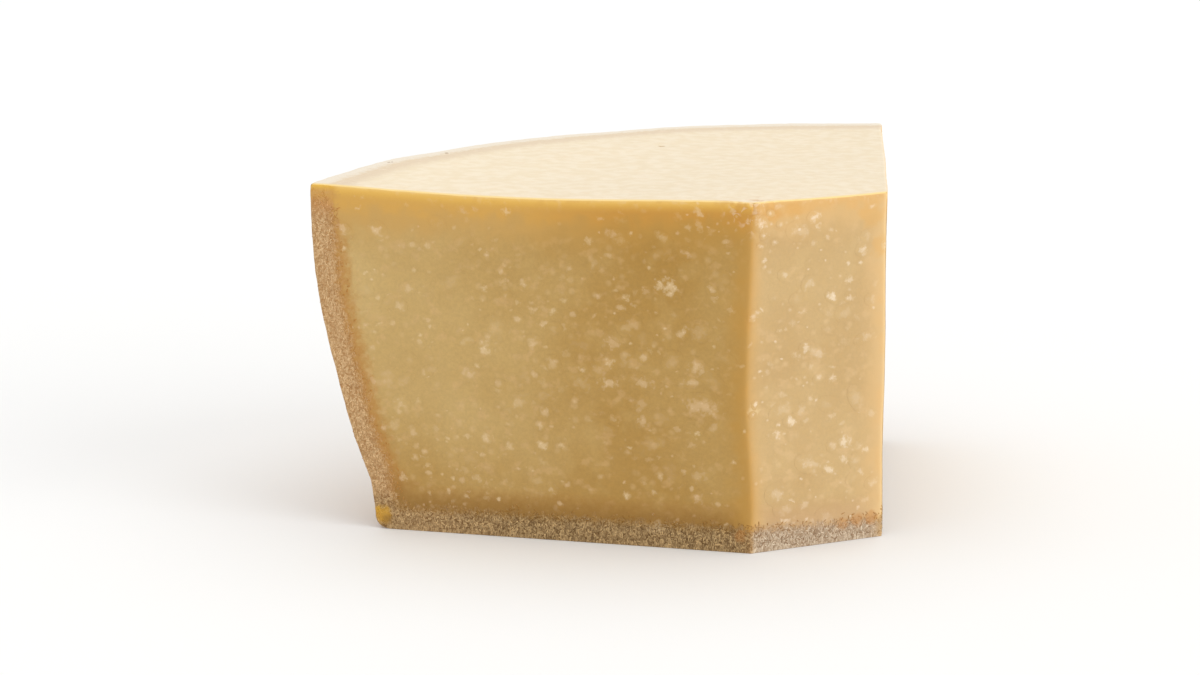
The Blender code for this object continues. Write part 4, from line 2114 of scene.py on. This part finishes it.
FRONT_CLUSTERS = tuple(Cluster(Side.FRONT, *numbers) for numbers in (
    (29.7, 93.7, 11.0, 1.3, 0.1, 1.0, 0.8), (42.5, 51.9, 14.0, 1.9, 0.1, 0.85, 0.3),
    (14.6, 89.4, 5.0, 1.4, 0.2, 1.0, 1.0), (-36.6, 68.8, 7.5, 1.0, 0.8, 1.0, 0.7),
    (-18.9, 71.6, 7.0, 1.0, 0.4, 0.8, 0.5), (-68.0, 82.4, 6.0, 1.2, 0.9, 0.7, 0.6),
    (-76.3, 109.5, 7.5, 1.1, 0.6, 0.95, 0.5), (-89.0, 109.0, 7.0, 1.6, 0.7, 0.8, 0.5),
    (-65.0, 89.1, 5.5, 1.4, 0.3, 0.7, 0.4), (-15.3, 34.7, 7.0, 1.1, 0.2, 0.9, 0.8),
    (-27.5, 33.2, 5.5, 1.2, 1.2, 0.8, 0.6), (-14.6, 46.8, 6.0, 1.3, 0.5, 0.75, 0.4),
    (21.2, 45.3, 7.0, 1.1, 0.9, 0.8, 0.3), (9.9, 73.4, 9.0, 1.2, 0.7, 0.75, 0.2),
    (9.2, 65.9, 6.5, 1.1, 0.4, 0.9, 0.8), (35.5, 78.0, 7.0, 1.7, 2.4, 0.8, 0.6),
    (40.6, 65.8, 9.0, 1.4, 0.5, 0.8, 0.5), (21.2, 68.7, 5.5, 1.2, 0.2, 0.8, 0.5),
    (9.2, 58.6, 9.0, 1.9, 0.1, 0.85, 0.5), (21.2, 59.7, 9.5, 2.3, 0.2, 0.75, 0.4),
    (38.1, 60.6, 7.0, 2.2, 3.1, 0.75, 0.5), (27.5, 25.7, 5.5, 1.2, 0.6, 0.8, 0.6),
    (15.5, 18.3, 5.0, 1.2, 0.1, 0.9, 0.9), (41.3, 18.9, 6.5, 1.2, 0.5, 0.8, 0.3),
    (-11.7, 18.4, 5.0, 1.2, 1.0, 0.8, 0.7), (-68.1, 46.6, 7.5, 1.0, 0.4, 0.85, 0.5),
    (-42.9, 59.3, 8.0, 1.5, 0.2, 0.8, 0.3), (-11.6, 64.7, 6.5, 1.2, 0.7, 0.7, 0.5),
    (-31.7, 13.8, 3.2, 1.2, 0.4, 1.0, 0.9), (-43.7, 14.1, 3.4, 1.3, 0.2, 0.9, 0.7),
    (-50.4, 15.9, 3.0, 1.2, 1.3, 0.85, 0.6), (-57.6, 14.4, 3.0, 1.1, 0.5, 0.7, 0.6),
    (-57.5, 21.7, 5.0, 1.3, 0.3, 0.8, 0.5), (-63.1, 27.3, 4.6, 1.5, 0.9, 0.8, 0.5),
    (-59.3, 29.4, 3.6, 1.2, 0.7, 0.75, 0.5), (-39.5, 20.6, 5.5, 1.2, 0.2, 0.8, 0.6),
    (-45.5, 19.9, 4.6, 1.4, 0.1, 0.65, 0.3), (-63.7, 36.9, 6.5, 1.1, 0.5, 0.75, 0.4),
    (-36.4, 35.9, 5.6, 1.2, 0.9, 0.85, 0.6), (-74.6, 37.3, 4.4, 1.2, 0.4, 0.8, 0.2),
    (-78.5, 54.4, 4.0, 1.2, 1.1, 0.75, 0.2), (-78.3, 66.9, 4.6, 1.1, 0.8, 0.6, 0.5),
    (-68.9, 43.9, 4.4, 1.3, 0.6, 0.7, 0.5), (-60.7, 69.7, 4.4, 1.2, 0.2, 0.6, 0.5),
    (-59.3, 58.8, 4.2, 1.1, 0.7, 0.6, 0.4), (-31.4, 56.0, 4.6, 1.3, 0.3, 0.6, 0.3),
    (-57.7, 104.6, 4.4, 1.6, 0.2, 0.75, 0.5), (-63.2, 104.7, 4.2, 1.5, 0.1, 0.65, 0.4),
    (-35.5, 102.4, 5.2, 1.2, 0.5, 0.8, 0.3), (-30.4, 96.9, 4.6, 1.2, 0.3, 0.75, 0.4),
    (-22.0, 92.6, 4.8, 1.3, 0.9, 0.75, 0.5), (-28.7, 88.4, 4.0, 1.2, 0.2, 0.7, 0.5),
    (-24.3, 79.9, 4.8, 1.3, 0.6, 0.8, 0.5), (-35.4, 73.2, 4.4, 1.2, 0.4, 0.6, 0.4),
    (-18.5, 60.0, 4.2, 1.4, 0.8, 0.7, 0.3), (-16.4, 41.9, 4.8, 1.3, 0.4, 0.8, 0.6),
    (-9.1, 13.4, 3.2, 1.2, 0.6, 0.8, 0.6), (-5.8, 20.6, 3.8, 1.2, 0.2, 0.65, 0.4),
    (-4.5, 82.7, 4.6, 1.6, 0.3, 0.7, 0.3), (-5.2, 98.8, 4.0, 1.3, 0.5, 0.6, 0.4),
    (4.9, 89.7, 4.2, 1.3, 0.2, 0.7, 0.3), (13.2, 85.8, 4.2, 1.5, 0.1, 0.7, 0.4),
    (10.3, 112.0, 6.5, 2.2, 0.1, 0.6, 0.2), (8.5, 104.4, 4.0, 1.4, 0.3, 0.6, 0.4),
    (36.1, 106.4, 5.8, 2.0, 0.1, 0.65, 0.2), (45.8, 93.8, 4.8, 1.3, 0.8, 0.75, 0.5),
    (25.4, 20.1, 3.6, 1.2, 0.7, 0.8, 0.7), (39.1, 22.1, 3.6, 1.2, 0.4, 0.75, 0.6),
    (36.2, 28.4, 4.2, 1.2, 0.1, 0.7, 0.4), (48.5, 17.2, 3.8, 1.2, 0.9, 0.7, 0.4),
    (6.0, 24.3, 4.0, 1.3, 0.4, 0.65, 0.5), (15.5, 33.6, 4.0, 1.2, 0.6, 0.6, 0.4),
))
TIP_CLUSTERS = tuple(Cluster(Side.TIP, *numbers) for numbers in (
    (24.1, 118.3, 6.0, 1.2, 0.3, 1.0, 0.7), (18.2, 114.2, 5.5, 1.1, 0.6, 0.95, 0.8),
    (31.8, 89.3, 5.5, 1.5, 1.2, 1.0, 1.0), (0.9, 84.9, 6.0, 1.3, 0.4, 0.7, 0.3),
    (43.7, 105.1, 6.0, 1.2, 0.9, 0.95, 0.6), (22.0, 71.9, 6.0, 1.2, 0.5, 0.8, 0.7),
    (16.3, 45.9, 6.0, 1.3, 0.8, 1.0, 1.0), (37.6, 36.3, 7.5, 1.3, 0.7, 1.0, 0.9),
    (31.7, 26.8, 6.0, 1.8, 1.1, 0.85, 0.5), (1.9, 53.6, 3.0, 1.2, 0.3, 1.0, 1.0),
    (0.9, 49.7, 3.0, 1.2, 0.3, 1.0, 1.0), (2.6, 117.5, 7.5, 1.5, 1.3, 0.85, 0.3),
    (4.6, 113.2, 4.0, 1.3, 0.2, 0.8, 0.4), (6.6, 121.0, 3.0, 1.4, 1.1, 0.7, 0.6),
    (3.2, 109.6, 3.4, 1.2, 0.7, 0.7, 0.5), (10.6, 116.8, 3.0, 1.3, 0.4, 0.6, 0.3),
    (12.4, 98.6, 5.0, 1.2, 0.9, 0.6, 0.5), (27.0, 60.4, 4.5, 1.3, 0.3, 0.65, 0.5),
))
DENTS = (
    Dent((-0.0021, 0.0244, 0.1240), (0.0024, 0.0032, 0.0020), 0.0007),
    Dent(tuple(WheelForm().on_tip(0.9, 51.5)), (0.0014, 0.0014, 0.0014), 0.0006),
    Dent(tuple(WheelForm().on_tip(17.6, 44.3)), (0.0012, 0.0012, 0.0013), 0.0004),
    Dent(tuple(WheelForm().on_tip(2.2, 121.5)), (0.0026, 0.0026, 0.0022), 0.0006),
    Dent(tuple(WheelForm().on_tip(5.8, 123.2)), (0.0022, 0.0022, 0.0018), 0.0005),
)


CRYSTALS = (
    CrystalScatter(
        name="crystal_clusters", seed=11, per_area=5500.0, spacing=0.0060,
        width=(0.0055, 0.0105), stretch=(1.1, 2.4), thickness=0.00005, sunk=0.00003,
        strength=(0.12, 0.55), spokes=16, rings=3,
        finish=CrystalFinish("cluster_crystal", waver=1.1, waver_size=0.0022, haze=0.70),
    ),
    CrystalScatter(
        name="crystals", seed=12, per_area=21000.0, spacing=0.0026,
        width=(0.0026, 0.0060), stretch=(1.0, 2.2), thickness=0.00003,
        strength=(0.15, 0.85),
        finish=CrystalFinish("single_crystal", waver=1.0, waver_size=0.0014, grain_size=0.0008, haze=0.68),
    ),
    CrystalScatter(
        name="crystal_specks", seed=13, per_area=24000.0, spacing=0.0018,
        width=(0.0016, 0.0030), stretch=(1.0, 1.7), thickness=0.00002,
        strength=(0.12, 0.75), spokes=8,
        finish=CrystalFinish("speck_crystal", rim=0.75, waver=0.6, waver_size=0.0009, haze=0.85),
    ),
)


def clear_leftovers() -> None:
    """Remove what the file opened with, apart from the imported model."""
    kept = {obj.name for obj in (*frame["nodes"].values(), *frame["bodies"].values())}
    for obj in list(bpy.data.objects):
        if obj.name not in kept:
            bpy.data.objects.remove(obj, do_unlink=True)


def triangles(piece: bpy.types.Object) -> int:
    """Count a piece's triangles."""
    piece.data.calc_loop_triangles()
    return len(piece.data.loop_triangles)


def main() -> None:
    """Build and dress the wedge, set up the studio, and log each piece's triangle count."""
    logging.basicConfig(level=logging.INFO, format="%(name)s: %(message)s")
    clear_leftovers()
    body = CheeseBody(dents=DENTS).build()
    body.data.materials.append(CutFinish().material())
    body.data.materials.append(RindFinish().material())
    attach(body, "root")
    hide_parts("cheese_wedge")
    LOG.info("%s: %d triangles", body.name, triangles(body))
    grains = RindGrains().build(body)
    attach(grains, "root")
    LOG.info("%s: %d triangles", grains.name, triangles(grains))
    surface = BodySurface(body)
    notable = cluster_marks((*FRONT_CLUSTERS, *TIP_CLUSTERS), surface, WheelForm())
    for scatter in CRYSTALS:
        more = [notable] if scatter.name == "crystal_clusters" else []
        crystals = scatter.build(body, surface, more)
        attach(crystals, "root")
        LOG.info("%s: %d triangles", crystals.name, triangles(crystals))
    Studio().build()


if __name__ == "__main__":
    main()
